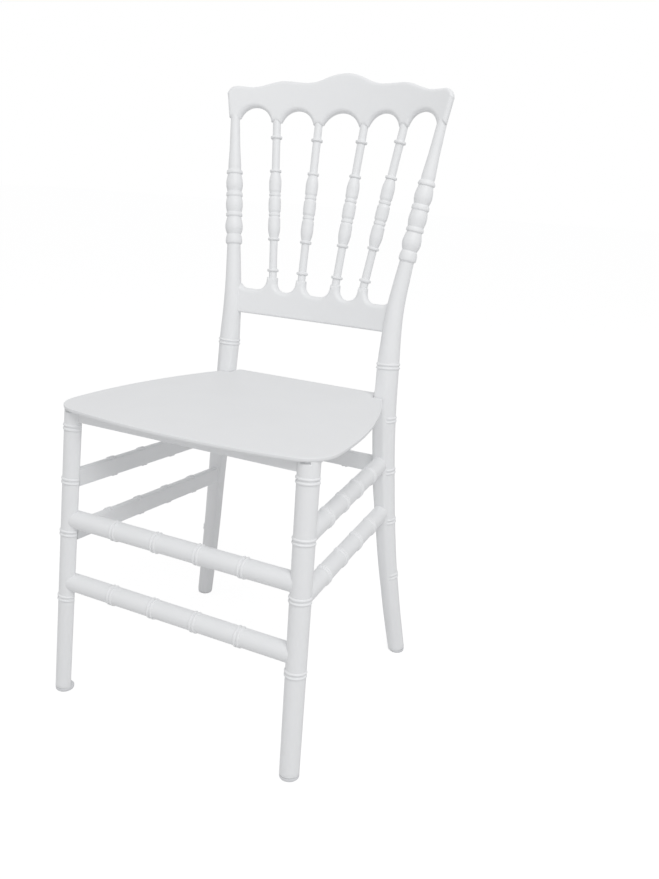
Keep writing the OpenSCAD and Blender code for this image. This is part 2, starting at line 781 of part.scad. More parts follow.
// The right half of the outline, from the middle of the front edge to the middle of the rear
function seat_half() =
    let (turn = asin((seat_w / 2 - seat_corner_r) / (front_bow_r - seat_corner_r)),
         corner = [0, front_bow_r - seat_front]
             + (front_bow_r - seat_corner_r) * [sin(turn), -cos(turn)],
         widest = corner + [seat_corner_r, 0])
    concat(arc([0, front_bow_r - seat_front], front_bow_r, to_front, to_front + turn, corner_steps),
        arc(corner, seat_corner_r, to_front + turn, 0, corner_steps),
        [for (k = [1:corner_steps]) let (t = k / corner_steps)
            [widest[0] - (widest[0] - seat_rear_w / 2) * t * t,
             widest[1] + (notch_y - rear_corner_r - widest[1]) * t]],
        arc([seat_rear_w / 2 - rear_corner_r, notch_y - rear_corner_r], rear_corner_r,
            notch_from, to_rear, rear_corner_steps),
        [[tongue_x, notch_y]],
        arc([tongue_x - rear_corner_r, seat_rear - rear_corner_r], rear_corner_r,
            0, to_rear, rear_corner_steps));

module seat_outline() {
    half = seat_half();
    for (side = [-1, 1]) for_side(side)
        polygon(concat(half, [[0, seat_rear]]));
}

module seat_panel() {
    color(white) difference() {
        union() {
            translate([0, 0, seat_under]) linear_extrude(seat_t) seat_outline();
            for (side = [-1, 1], end = [[front_corner, 1], [rear_corner, -1]]) for_side(side)
                translate(concat(block_boss(end[0], end[1]), [block_top]))
                cylinder(h = boss_h + over, d = boss_d);
        }
        for (side = [-1, 1], end = [[front_corner, 1], [rear_corner, -1]]) for_side(side)
            translate(concat(block_boss(end[0], end[1]), [block_top - over]))
            cylinder(h = screw_bite + over + fit_gap, d = screw_d + 2 * fit_gap, $fn = 32);
    }
}

// Crest rail and lower back rail

// Places of the posts and spindles across the crest rail, and of the spindles' feet
crest_feet = [-post_top_w / 2, -outer_top_w / 2, -inner_top_w / 2,
              inner_top_w / 2, outer_top_w / 2, post_top_w / 2];
low_feet = [-outer_foot_w / 2, -inner_foot_w / 2, inner_foot_w / 2, outer_foot_w / 2];
low_end = rear_axis(low_rail_z);
low_rail_end = rear_axis(low_rail_z + low_rail_h / 2);

// The raked planes of the two rails: X across, Z up the rake, Y backwards
module crest_frame() {
    translate([0, post_top_y, back_h]) rotate([-rake, 0, 0]) children();
}

module low_frame() {
    translate([0, low_end[1], low_end[2]]) rotate([-rake, 0, 0]) children();
}

function raked(origin_y, origin_z, p) =
    [p[0], origin_y + p[1] * cos(rake) + p[2] * sin(rake),
           origin_z - p[1] * sin(rake) + p[2] * cos(rake)];
function crest_point(x) =
    raked(post_top_y, back_h, [x, bow_depth(x, post_top_w / 2, crest_bow), 0]);
function low_point(x) =
    raked(low_end[1], low_end[2], [x, bow_depth(x, low_end[0], low_rail_bow), low_peak_h]);

// A curved slab in a raked plane, cut to the outline that is given as a child
module bowed_slab(half, bow, thickness, height) {
    r = bow_radius(half, bow);
    intersection() {
        translate([0, beyond / 2, 0]) rotate([90, 0, 0]) linear_extrude(beyond) children();
        translate([0, bow - r, -over]) difference() {
            cylinder(h = height + over, r = r + thickness / 2, $fn = 180);
            translate([0, 0, -over]) cylinder(h = height + 3 * over, r = r - thickness / 2, $fn = 180);
        }
    }
}

function crest_top(x) = crest_end_h + crest_mid_rise * hump(x / crest_mid_reach)
    + crest_hump_rise * hump((abs(x) - crest_hump_x) / crest_hump_reach);

module crest_outline() {
    foot_x = post_top_w / 2 + crest_foot_w / 2;
    end_x = foot_x + crest_end_h * (post_top[0] - post_bend[0]) / (back_h - post_bend_z);
    inner = end_x - crest_corner_r;
    corner = [inner, crest_top(inner) - crest_corner_r];
    difference() {
        polygon(concat([[-foot_x, 0], [foot_x, 0]],
            arc(corner, crest_corner_r, 0, 90, 8),
            [for (k = [1:crest_steps - 1]) let (x = inner * (1 - 2 * k / crest_steps))
                [x, crest_top(x)]],
            arc([-corner[0], corner[1]], crest_corner_r, 90, 180, 8)));
        for (k = [0:len(crest_feet) - 2])
            arch(crest_feet[k] + crest_foot_w / 2, crest_feet[k + 1] - crest_foot_w / 2);
    }
}

// A round arch that springs from Y = 0 between two feet
module arch(from, to) {
    r = bow_radius((to - from) / 2, crest_arch_h);
    translate([(from + to) / 2, crest_arch_h - r]) circle(r, $fn = 96);
}

module crest_rail() {
    color(white) difference() {
        crest_frame() translate([0, crest_back, 0]) bowed_slab(post_top_w / 2, crest_bow, crest_t,
            crest_end_h + crest_mid_rise + crest_hump_rise) crest_outline();
        for (side = [-1, 1]) for_side(side) upright(post_top, post_top + (post_top - post_bend))
            pin_hole();
        for (k = [0:3]) upright(spindle_top(k), 2 * spindle_top(k) - spindle_foot(k)) pin_hole();
    }
}

module pin_hole() {
    translate([0, 0, -over - pin_d])
        cylinder(h = pin_len + pin_d + over + fit_gap, d = pin_d + 2 * fit_gap);
}

module low_rail_outline() {
    reach = low_end[0] - post_neck_d / 2 + hollow_in + low_peak_w / 2;
    hollows = concat([-reach], low_feet, [reach]);
    in_hollow = low_peak_w / 2 + low_hollow_r;
    difference() {
        translate([-low_end[0] - post_neck_d, 0])
            square([2 * (low_end[0] + post_neck_d), low_peak_h]);
        for (k = [0:len(hollows) - 2])
            hollow(hollows[k] + low_peak_w / 2, hollows[k + 1] - low_peak_w / 2);
        for (x = [low_feet[3] + in_hollow, low_feet[0] - in_hollow - beyond])
            translate([x, low_rail_h + low_corner_h]) square(beyond);
    }
}

// A hollow with round corners, from Y = low_rail_h upwards
module hollow(from, to) {
    r = low_hollow_r;
    for (x = [from + r, to - r]) translate([x, low_rail_h + r]) circle(r, $fn = 48);
    translate([from + r, low_rail_h]) square([to - from - 2 * r, low_peak_h]);
    translate([from, low_rail_h + r]) square([to - from, low_peak_h]);
}

module lower_back_rail() {
    color(white) {
        difference() {
            low_frame() bowed_slab(low_end[0], low_rail_bow, low_rail_t, low_peak_h + over)
                low_rail_outline();
            for (side = [-1, 1]) for_side(side) low_post_shell();
            for (k = [0:3]) upright(spindle_foot(k), 2 * spindle_foot(k) - spindle_top(k))
                pin_hole();
        }
        for (side = [-1, 1]) for_side(side) level(low_rail_end, mirrored(low_rail_end))
            translate([0, 0, tenon_start()])
            cylinder(h = rear_top_d / 2 + over - tenon_start(), d = pin_d);
    }
}

// The plain lower part of the back post and all that lies outside it
module low_post_shell() {
    post_foot_part(fit_gap);
    translate([low_end[0], low_end[1] - beyond / 2, low_end[2] - low_rail_h])
        cube([beyond, beyond, beyond]);
}

// Spindles

function spindle_top(k) = crest_point(crest_feet[k + 1]);
function spindle_foot(k) = low_point(low_feet[k]);

// Radius of the plain part, of a vase where it is fullest, and of a vase's neck
plain_r = spindle_d / 2;
vase_r = spindle_vase_d / 2;
neck_r = plain_r + neck_share * (vase_r - plain_r);

// A ring at a share of a spindle's length, on a part of this radius
function spindle_ring(k, base, length) =
    let (s = spindle_rings[k] * length)
    collar_profile(base, spindle_ring_d / 2, s - ring_half, s + ring_half);

// A swelling from the plain part to the fullest one, away from a share of the length
function vase_side(start, length, dir) =
    [for (k = dir > 0 ? [1:6] : [6:-1:1])
        [plain_r + (vase_r - plain_r) * sin(15 * k), (start + dir * vase_swell * k / 6) * length]];

// Half the outline of a spindle of this length: rings, two vases that swell towards a barrel
// between them, and plain ends
function spindle_profile(length) =
    concat([[0, -over], [plain_r, -over]],
        spindle_ring(0, plain_r, length), spindle_ring(1, plain_r, length),
        vase_side(low_vase[0], length, 1), [[neck_r, low_vase[1] * length]],
        spindle_ring(2, neck_r - groove, length),
        [for (t = barrel) [vase_r, t * length]],
        spindle_ring(3, neck_r - groove, length),
        [[neck_r, top_vase[0] * length]], vase_side(top_vase[1], length, -1),
        spindle_ring(4, plain_r, length), spindle_ring(5, plain_r, length),
        [[plain_r, length + over], [0, length + over]]);

module back_spindle(k) {
    foot = spindle_foot(k);
    top = spindle_top(k);
    length = norm(top - foot);
    color(white) {
        difference() {
            upright(foot, top) rotate_extrude() polygon(spindle_profile(length));
            crest_frame() translate([-beyond / 2, -beyond / 2, 0]) cube(beyond);
            low_frame() translate([-beyond / 2, -beyond / 2, low_peak_h - beyond]) cube(beyond);
        }
        upright(foot, top) translate([0, 0, -pin_len]) cylinder(h = length + 2 * pin_len, d = pin_d);
    }
}

// Feet

module glide_bore(axis) {
    translate([axis[0], axis[1], glide_h - over])
        cylinder(h = glide_stem_len + over + fit_gap, d = glide_stem_d + 2 * fit_gap);
}

module foot_glide(axis, d, side) {
    color(white) for_side(side) translate([axis[0], axis[1], 0]) rotate_extrude() polygon([
        [0, 0], [d / 2 - glide_chamfer, 0], [d / 2, glide_chamfer], [d / 2, glide_h],
        [glide_stem_d / 2, glide_h], [glide_stem_d / 2, glide_h + glide_stem_len],
        [0, glide_h + glide_stem_len]]);
}

module front_glide(side) {
    foot_glide(front_axis(glide_h), front_foot_d, side);
}

module rear_glide(side) {
    foot_glide(rear_axis(glide_h), rear_foot_d, side);
}

placed() crest_rail();
placed() lower_back_rail();
placed() back_spindle(0);  // back_spindle_1
placed() back_spindle(1);  // back_spindle_2
placed() back_spindle(2);  // back_spindle_3
placed() back_spindle(3);  // back_spindle_4
placed() rear_leg(-1);  // rear_leg_left
placed() rear_leg(1);  // rear_leg_right
placed() front_leg(-1);  // front_leg_left
placed() front_leg(1);  // front_leg_right
placed() front_seat_rail();
placed() rear_seat_rail();
placed() side_seat_rail(-1);  // left_seat_rail
placed() side_seat_rail(1);  // right_seat_rail
placed() seat_panel();
placed() front_stretcher(front_upper_z);  // front_stretcher_upper
placed() front_stretcher(front_lower_z);  // front_stretcher_lower
placed() side_stretcher(-1, side_upper_z);  // left_stretcher_upper
placed() side_stretcher(-1, side_lower_z);  // left_stretcher_lower
placed() side_stretcher(1, side_upper_z);  // right_stretcher_upper
placed() side_stretcher(1, side_lower_z);  // right_stretcher_lower
placed() rear_stretcher();
placed() corner_block(front_corner, 1, -1);  // corner_block_front_left
placed() corner_block(front_corner, 1, 1);  // corner_block_front_right
placed() corner_block(rear_corner, -1, -1);  // corner_block_rear_left
placed() corner_block(rear_corner, -1, 1);  // corner_block_rear_right
placed() seat_screws();
placed() corner_block_screws();
placed() front_glide(-1);  // foot_glide_front_left
placed() front_glide(1);  // foot_glide_front_right
placed() rear_glide(-1);  // foot_glide_rear_left
placed() rear_glide(1);  // foot_glide_rear_right
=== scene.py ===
# %% [markdown]
# # A white banquet chair, built up in Blender
#
# The chair is a moulded plastic banquet chair in the style of a turned and
# painted wooden one. A CAD model of it already exists and is loaded here as
# the frame: it fixes every size and place. This lesson gives each visible
# piece a finer surface, worked out as a function of two parameters, and then
# a material, light and camera.
#
# X runs across the chair, the front faces -Y and Z is up. Shapes are worked
# out in millimetres and turned to metres when they become meshes.

# %% Load the CAD frame
import math

import bpy
import numpy as np
from mathutils import Matrix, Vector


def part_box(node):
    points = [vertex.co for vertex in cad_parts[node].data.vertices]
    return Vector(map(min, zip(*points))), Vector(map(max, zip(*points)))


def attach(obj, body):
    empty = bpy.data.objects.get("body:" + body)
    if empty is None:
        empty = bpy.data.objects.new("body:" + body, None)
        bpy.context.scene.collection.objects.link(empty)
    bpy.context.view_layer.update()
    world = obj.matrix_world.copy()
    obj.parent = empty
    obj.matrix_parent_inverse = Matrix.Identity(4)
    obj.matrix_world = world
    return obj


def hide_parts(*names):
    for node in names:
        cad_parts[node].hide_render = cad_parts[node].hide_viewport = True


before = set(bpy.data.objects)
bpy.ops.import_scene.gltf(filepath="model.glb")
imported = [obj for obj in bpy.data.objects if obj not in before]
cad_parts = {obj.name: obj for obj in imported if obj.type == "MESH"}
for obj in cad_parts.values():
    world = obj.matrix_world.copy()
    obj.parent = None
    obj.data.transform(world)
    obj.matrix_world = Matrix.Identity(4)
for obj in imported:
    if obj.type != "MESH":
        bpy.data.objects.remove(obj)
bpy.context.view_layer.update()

# %% [markdown]
# ## The sizes that all pieces share
#
# The front legs and the posts lean along straight axes, whose ends are the
# same points as in the CAD model. The numbers are those of the right side, and
# the left one is its mirror image. The model is centred on its own depth, so
# all places in Y shift by the same amount, which is measured here from the
# front edge of the seat panel.

# %% Axes of the legs and posts
MM = 0.001
SEAT_FRONT = 181.0
depth_middle = -SEAT_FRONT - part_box("seat_panel")[0].y / MM


def point(x, y, z):
    """A place in the chair's own frame, moved with the middle of its depth."""
    return np.array([x, y - depth_middle, z])


front_foot, front_top = point(195.0, -174.0, 0.0), point(184.5, -142.0, 440.0)
post_bend, post_top = point(147.5, 195.8, 592.0), point(178.0, 238.0, 843.0)
MIRROR = np.array([-1.0, 1.0, 1.0])
SEAT_TOP, SEAT_UNDER, GLIDE_TOP = 440.0, 434.0, 5.0
print("middle of the depth lies", round(depth_middle, 2), "mm from the old origin")


def at_height(low, high, z):
    """The point at height z on the straight line through two points."""
    return low + (high - low) * (z - low[2]) / (high[2] - low[2])


# %% [markdown]
# ## From a grid of points to a solid
#
# Nearly all pieces here are one idea: a closed section that is carried along
# a path. The points form a grid with one row for each place on the path and
# one column for each direction round it. Joining the last column to the first
# makes a tube, and a fan of triangles round a middle point closes each end.
#
# A mesh with its faces turned inwards looks fine until light is reflected
# wrongly, so the volume is measured and the faces are turned over where it
# comes out negative.

# %% Closed surfaces
SHARP_FROM = math.radians(50)


def closed_tube(points):
    """Vertices and faces of a grid of rows, joined round and closed by a fan at both ends."""
    rows, around = points.shape[:2]
    index = np.arange(rows * around).reshape(rows, around)
    right = np.roll(index, -1, axis=1)
    quads = np.stack([index[:-1], right[:-1], right[1:], index[1:]], -1).reshape(-1, 4)
    first, last = rows * around, rows * around + 1
    start = np.stack([right[0], index[0], np.full(around, first)], -1)
    end = np.stack([index[-1], right[-1], np.full(around, last)], -1)
    verts = np.concatenate([points.reshape(-1, 3), points[[0, -1]].mean(axis=1)])
    return verts, quads.tolist() + start.tolist() + end.tolist()


def signed_volume(verts, faces):
    """Sum of the volumes between the origin and each face, positive when faces point outwards."""
    tris = np.array([(f[0], f[k], f[k + 1]) for f in faces for k in range(1, len(f) - 1)])
    a, b, c = (verts[tris[:, k]] for k in range(3))
    return float(np.einsum("ij,ij->i", a, np.cross(b, c)).sum() / 6)


def piece(name, solids, material, slot, *nodes):
    """Joins closed surfaces into one object that rides on the chair and replaces CAD nodes."""
    verts, faces, count = [], [], 0
    for v, f in solids:
        if signed_volume(v - v.mean(axis=0), f) < 0:
            f = [face[::-1] for face in f]
        verts.append(v)
        faces += [[i + count for i in face] for face in f]
        count += len(v)
    mesh = bpy.data.meshes.new(name)
    mesh.from_pydata((np.concatenate(verts) * MM).tolist(), [], faces)
    mesh.validate()
    mesh.shade_smooth()
    mesh.set_sharp_from_angle(angle=SHARP_FROM)
    mesh.materials.append(material)
    obj = bpy.data.objects.new(name, mesh)
    bpy.context.scene.collection.objects.link(obj)
    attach(obj, "root")
    if nodes:
        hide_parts(*nodes)
    print(f"{name}: {len(mesh.vertices)} points, {len(mesh.polygons)} faces")


# %% [markdown]
# ## Moulded white polypropylene
#
# Chairs like this one are injection moulded in polypropylene, coloured white
# in the mass. Off the tool it is satin: the tool's fine spark-eroded grain
# breaks up reflections, so lights show as broad soft patches. The polymer has
# an IOR near 1.49. It also scatters light a little way under its skin, which
# is too little to show at this size and is left out. Very faint cloudiness
# from the flow of the melt varies its tone by about a hundredth.
#
# The grain of a real tool is about 0.1 mm wide, far below a pixel here. It is
# drawn about 1 mm wide and very shallow, so that it only breaks up highlights.
# The seat has a coarser grain than the frame, which hides scratches.

# %% Colours and nodes
CLOUD_SIZE, GLOSS_SPREAD, PLASTIC_IOR = 60.0, 0.04, 1.49


def linear(hex_colour):
    """An sRGB hex colour as linear red, green, blue and alpha."""
    srgb = np.array([int(hex_colour[k:k + 2], 16) for k in (1, 3, 5)]) / 255
    low = srgb <= 0.04045
    return (*np.where(low, srgb / 12.92, ((srgb + 0.055) / 1.055) ** 2.4), 1.0)


def add_node(tree, kind, settings=None, **inputs):
    """Adds a node, sets its properties and sockets, and links any socket given as an input."""
    node = tree.nodes.new(kind)
    for key, value in (settings or {}).items():
        setattr(node, key, value)
    for key, value in inputs.items():
        socket = node.inputs[key.replace("_", " ")]
        if isinstance(value, bpy.types.NodeSocket):
            tree.links.new(value, socket)
        else:
            socket.default_value = value
    return node


def moulded(name, light, shade, rough, grain_mm, depth_mm):
    """Moulded plastic: two close tones in soft clouds, satin roughness and a shallow grain."""
    material = bpy.data.materials.new(name)
    material.use_nodes = True
    tree = material.node_tree
    shader = tree.nodes["Principled BSDF"]
    shader.inputs["IOR"].default_value = PLASTIC_IOR
    place = add_node(tree, "ShaderNodeTexCoord").outputs["Object"]
    clouds = add_node(tree, "ShaderNodeTexNoise", Vector=place, Scale=1 / (CLOUD_SIZE * MM),
                      Detail=2.0)
    # Inputs 6 and 7 of a colour mix are its two colours, and output 2 is the mixed one.
    tone = add_node(tree, "ShaderNodeMix", {"data_type": "RGBA"}, Factor=clouds.outputs["Fac"])
    tone.inputs[6].default_value, tone.inputs[7].default_value = linear(light), linear(shade)
    tree.links.new(tone.outputs[2], shader.inputs["Base Color"])
    grain = add_node(tree, "ShaderNodeTexNoise", Vector=place, Scale=1 / (grain_mm * MM),
                     Detail=1.0)
    gloss = add_node(tree, "ShaderNodeMapRange", Value=grain.outputs["Fac"],
                     To_Min=rough - GLOSS_SPREAD, To_Max=rough + GLOSS_SPREAD)
    tree.links.new(gloss.outputs["Result"], shader.inputs["Roughness"])
    bump = add_node(tree, "ShaderNodeBump", Height=grain.outputs["Fac"], Strength=0.5,
                    Distance=depth_mm * MM)
    tree.links.new(bump.outputs["Normal"], shader.inputs["Normal"])
    return material


white_frame = moulded("moulded_white_polypropylene", "#F0F1F2", "#EDEEEF", 0.5, 0.9, 0.02)
white_seat = moulded("grained_white_polypropylene", "#ECEDEE", "#E9EAEB", 0.55, 1.2, 0.04)
white_glide = moulded("moulded_white_polyethylene", "#E0E1E3", "#DBDCDE", 0.5, 0.9, 0.02)
print("plastics:", ", ".join(m.name for m in (white_frame, white_seat, white_glide)))

# %% [markdown]
# ## Zinc-plated screws
#
# The screws under the seat are steel with a thin bright zinc coat from a
# plating bath. It is a metal, so the colour goes to the reflection, and the
# coat's fine crystals keep it from being a mirror. On a real screw they are
# far too small to see. They are drawn 0.8 mm wide, so that the heads show some.

# %% Zinc plating
CRYSTAL = 0.8
zinc = bpy.data.materials.new("zinc_plated_steel")
zinc.use_nodes = True
coat = zinc.node_tree
zinc_shader = coat.nodes["Principled BSDF"]
zinc_shader.inputs["Metallic"].default_value = 1.0
zinc_shader.inputs["Roughness"].default_value = 0.34
zinc_place = add_node(coat, "ShaderNodeTexCoord").outputs["Object"]
crystals = add_node(coat, "ShaderNodeTexVoronoi", Vector=zinc_place, Scale=1 / (CRYSTAL * MM))
zinc_tone = add_node(coat, "ShaderNodeMix", {"data_type": "RGBA"},
                     Factor=crystals.outputs["Distance"])
zinc_tone.inputs[6].default_value = linear("#C9CCD0")
zinc_tone.inputs[7].default_value = linear("#B4B8BE")
coat.links.new(zinc_tone.outputs[2], zinc_shader.inputs["Base Color"])
print("crystals of the zinc coat:", CRYSTAL, "mm wide")

# %% [markdown]
# ## Carrying a section along a path
#
# Every leg, post, spindle and stretcher is a path with a section at right
# angles to it. At each row two unit vectors span the section: one that leans
# towards a chosen side, and one square to it. A point is the path's point
# plus the radius times the cosine and sine of its angle along these two.

# %% Sweeping
AROUND = 72
angle = np.arange(AROUND) * 2 * np.pi / AROUND
ACROSS, UP = np.array([1.0, 0.0, 0.0]), np.array([0.0, 0.0, 1.0])


def unit(v):
    """Vectors of length one."""
    return v / np.linalg.norm(v, axis=-1, keepdims=True)


def carried(path, side, radius):
    """Grid of points: path + radius (cos a * across + sin a * square) for each row and angle.

    Across is the side's part that is square to the path, and square is the
    cross product of the path's direction with it.
    """
    along = unit(np.gradient(path, axis=0))
    across = unit(side - (along @ side)[:, None] * along)
    square = np.cross(along, across)
    ring = (np.cos(angle)[None, :, None] * across[:, None]
            + np.sin(angle)[None, :, None] * square[:, None])
    return path[:, None] + radius[:, :, None] * ring


# %% [markdown]
# ## Raised rings like the knots of bamboo
#
# Pairs of thin raised rings sit along the legs and stretchers. On the real
# chair they are grooves in the mould, half-round and about 3 mm wide. Here
# they are part of the radius: around each ring the radius grows by the height
# of a half circle. Rows lie close together there and far apart elsewhere, so
# the mesh spends its faces where the shape turns.
#
# Four small functions shape the section itself: the smaller of two lengths with
# a soft corner, a flat side, a smooth step, and the angle away from a direction.

# %% Ring pairs
BEAD, BEAD_SHARE, PITCH = 1.7, 0.9, 5.6
RING_MARGIN, RING_ROWS = 0.4, 41
FAR, GRAZING = 1e3, 0.05


def stations(length, centres, step=6.0):
    """Distances from 0 to length in even steps, with close steps across each ring pair."""
    reach = PITCH / 2 + BEAD + RING_MARGIN
    near = [np.linspace(c - reach, c + reach, RING_ROWS) for c in centres]
    even = np.linspace(0, length, max(2, round(length / step)))
    return np.unique(np.clip(np.concatenate([even, *near]), 0, length).round(4))


def ring_height(s, centres):
    """Height of the nearest bead: BEAD_SHARE sqrt(BEAD^2 - d^2) at distance d from its middle."""
    beads = (np.asarray(centres)[:, None] + np.array([-0.5, 0.5]) * PITCH).ravel()
    d = np.abs(s[:, None] - beads[None]).min(axis=1)
    return BEAD_SHARE * np.sqrt(np.clip(BEAD ** 2 - d ** 2, 0, None))


def soft_min(a, b, sharp=2.0):
    """The smaller of two lengths, with a round change-over about 1/sharp mm wide."""
    return -np.logaddexp(-sharp * a, -sharp * b) / sharp


def flat_side(towards, reach):
    """Distance from the axis to a flat: reach / cos(a - towards), or far away behind it."""
    c = np.cos(angle - towards)
    return np.where(c > GRAZING, reach / np.clip(c, GRAZING, None), FAR)


def step(x, width):
    """A smooth step from 0 to 1 across x = 0: t^2 (3 - 2 t) over the width."""
    t = np.clip(x / width + 0.5, 0, 1)
    return t * t * (3 - 2 * t)


def turned_from(direction):
    """Angle between each column's direction and a given one, from 0 to 180 degrees."""
    return np.abs((angle - direction + np.pi) % (2 * np.pi) - np.pi)


# %% [markdown]
# ## Front legs
#
# A front leg tapers slightly towards the floor and leans forwards and out.
# Its inner corner is cut off by a flat, because the leg is moulded as a
# channel that is closed there by the stretchers. Its ring pairs run round the
# front and stop at the sides where the stretchers join. At its top, just
# under the seat, is the small window of the clip that holds the seat panel.

# %% Front leg surface
FRONT_RINGS = [151.0, 252.0, 330.0, 408.0]
FRONT_FOOT_R, FRONT_TOP_R = 13.5, 14.75
# The flat lies at a share of the radius from the axis, towards the inner rear corner.
FLAT_SHARE, FLAT_TURN = 0.6, math.radians(135)
# Rings show where the sine of the direction is under a limit, and fade out round it.
RINGS_UP_TO, RING_FADE = 1 / 3, 0.25
FOOT_ROUND, FOOT_HIGH = 0.8, 1.0
FOOT_ROWS = FOOT_HIGH * np.array([0.4, 1.0])
CLIP_W, CLIP_H, CLIP_DEEP, CLIP_TURN = 14.0, 4.2, 4.0, math.radians(-84)
CLIP_SIDE_SOFT, CLIP_LOW_SOFT, CLIP_ROWS = 1.6, 0.5, 19


def foot_round(s):
    """What the radius lacks at a distance s from the floor end: FOOT_ROUND (1 - s/FOOT_HIGH)^2."""
    return FOOT_ROUND * np.clip(1 - s / FOOT_HIGH, 0, 1) ** 2


def front_leg(mirror):
    """Radius: a taper plus the rings over the front, cut by a flat behind, with a window."""
    low = at_height(front_foot, front_top, GLIDE_TOP)
    high = at_height(front_foot, front_top, SEAT_UNDER)
    length = np.linalg.norm(high - low)
    rings = (np.array(FRONT_RINGS) - GLIDE_TOP) * length / (SEAT_UNDER - GLIDE_TOP)
    window = np.linspace(length - CLIP_H - 1, length, CLIP_ROWS)
    s = np.unique(np.concatenate([stations(length, rings), window, FOOT_ROWS]).round(4))
    path = low + (high - low) * (s / length)[:, None]
    taper = np.interp(path[:, 2], [0, SEAT_TOP], [FRONT_FOOT_R, FRONT_TOP_R])
    front = step(RINGS_UP_TO - np.sin(angle), RING_FADE)
    radius = (taper - foot_round(s))[:, None] + ring_height(s, rings)[:, None] * front[None]
    radius = soft_min(radius, flat_side(FLAT_TURN, FLAT_SHARE) * taper[:, None])
    across = step(CLIP_W / 2 - turned_from(CLIP_TURN) * FRONT_TOP_R, CLIP_SIDE_SOFT)
    above = step(s - (length - CLIP_H), CLIP_LOW_SOFT)
    radius = radius - CLIP_DEEP * across[None] * above[:, None]
    return closed_tube(carried(path, ACROSS, radius) * mirror)


# %% [markdown]
# ## Rear legs that run up into the back posts
#
# Each rear leg and its post are one long moulding. The foot stands out and
# back. From there the leg leans in, curves gently all the way up and
# straightens above the seat, where the rake of the back begins. Up to the seat
# its inner front corner is square, so that the side and rear stretchers meet
# flat faces.
#
# The axis goes through a row of measured places. Straight lines join them, and
# averaging over a window rounds the corners, as a former would. The last
# straight part is the rake of the back, up to the crest rail.

# %% Path of the rear leg
REAR_RINGS = [140.5, 237.5, 321.0, 404.5]
POST_RING, AVERAGED = 488.0, 25.0
# Each row is a place on the axis: its height, then its x and y in the chair's own frame.
AXIS = np.array([[-40, 203.4, 201.5], [0, 196.4, 197.5], [80, 183.6, 190.0], [160, 172.5, 184.4],
                 [237.5, 164.4, 180.8], [300, 158.4, 179.1], [360, 153.1, 178.9],
                 [420, 148.9, 180.7], [488, 145.5, 184.9], [530, 144.7, 188.5],
                 [571, 145.4, 192.5], [592, 147.5, 195.8], [843, 178.0, 238.0],
                 [883, 182.9, 244.7]])


def rear_path(z):
    """Straight lines between the places, averaged over AVERAGED mm up and down."""
    near = z[:, None] + np.linspace(-AVERAGED, AVERAGED, 25)[None]
    flat = [np.interp(near, AXIS[:, 0], AXIS[:, k]).mean(axis=1) for k in (1, 2)]
    return np.stack([flat[0], flat[1] - depth_middle, z], 1)


# %% [markdown]
# ### The turned part of the post
#
# In wood this would be cut on a lathe: three balls between narrow collars,
# above a plain lower part that widens towards the seat. The profile below
# gives the radius at distances under the crest rail. Each ball swells as a
# sine from one waist to the next. A little averaging rounds the corners as
# the mould's own polish does.

# %% Post profile
BALL, COLLAR, WAIST, NECK, TOP_R = 14.0, 13.5, 11.3, 10.8, 7.3


def swell(low, full, start, end, fullest=0.5, count=25):
    """Radii low + (full - low) sin(90 u) from start to end, u being 1 at the share fullest."""
    t = np.linspace(0, 1, count)
    u = np.where(t < fullest, t / fullest, (1 - t) / (1 - fullest))
    return np.stack([start + (end - start) * t, low + (full - low) * np.sin(np.pi / 2 * u)], 1)


def collar(low, full, start, end):
    """A collar with its lip near the start: low + (full - low) sin(180 t^0.6) to the power 0.45."""
    t = np.linspace(0, 1, 21)
    lift = np.clip(np.sin(np.pi * t ** 0.6), 0, 1) ** 0.45
    return np.stack([start + (end - start) * t, low + (full - low) * lift], 1)


# From the seat upwards. The last two numbers of a part are its ends under the crest rail.
post_profile = np.concatenate([
    [[355, 16.6], [333, 16.0], [315, 15.2], [253, 12.8], [221, 11.7], [197.5, NECK]],
    collar(NECK, COLLAR, 197, 181.5),
    swell(WAIST, BALL + 0.4, 181, 154, 0.42),
    collar(WAIST, COLLAR, 153.6, 146.2),
    swell(WAIST + 0.8, BALL - 0.2, 146, 122.5),
    collar(WAIST + 0.6, COLLAR, 122, 114.4),
    swell(WAIST, BALL - 0.4, 114, 87.5, 0.42),
    collar(WAIST - 1, COLLAR - 0.4, 87, 79.4),
    [[79, WAIST - 1], [74, WAIST - 0.8], [43, TOP_R + 1.2], [0, TOP_R], [-20, TOP_R]]])


def rounded(drop, profile, blur=0.7):
    """The profile's radius at each drop, averaged over blur mm up and down."""
    order = np.argsort(profile[:, 0])
    near = drop[:, None] + np.linspace(-blur, blur, 7)[None]
    return np.interp(near, profile[order, 0], profile[order, 1]).mean(axis=1)


print("post profile from", post_profile[:, 1].min(), "to", round(post_profile[:, 1].max(), 2), "mm")

# %% Rear leg surface
CREST_Z, INTO_CREST = 843.0, 8.0
TURNED_FROM, TURNED_TO, RING_ZONE = 638.0, 770.0, 20.0
# The rings of the leg run over its outer half. The radius is given at a few heights.
RING_FROM, RING_TO = math.radians(-58), math.radians(110)
LEG_Z = [0, 90, 190, 240, 300, 360, 440, 488]
LEG_R = [12.9, 13.7, 14.1, 14.3, 15.0, 15.3, 16.1, 16.6]
# The square corner: its flats and its furthest reach, as shares of the radius.
CORNER, CORNER_CAP, CORNER_SHARP = 1.1, 1.45, 12.0
CORNER_TURN, CORNER_SPREAD, CORNER_FADE = math.radians(225), math.radians(62), 0.35
SQUARE_Z, SQUARE_SHARE = [0, 120, 300, 430, 460, 520], [0.3, 0.35, 1.0, 0.9, 0.45, 0]


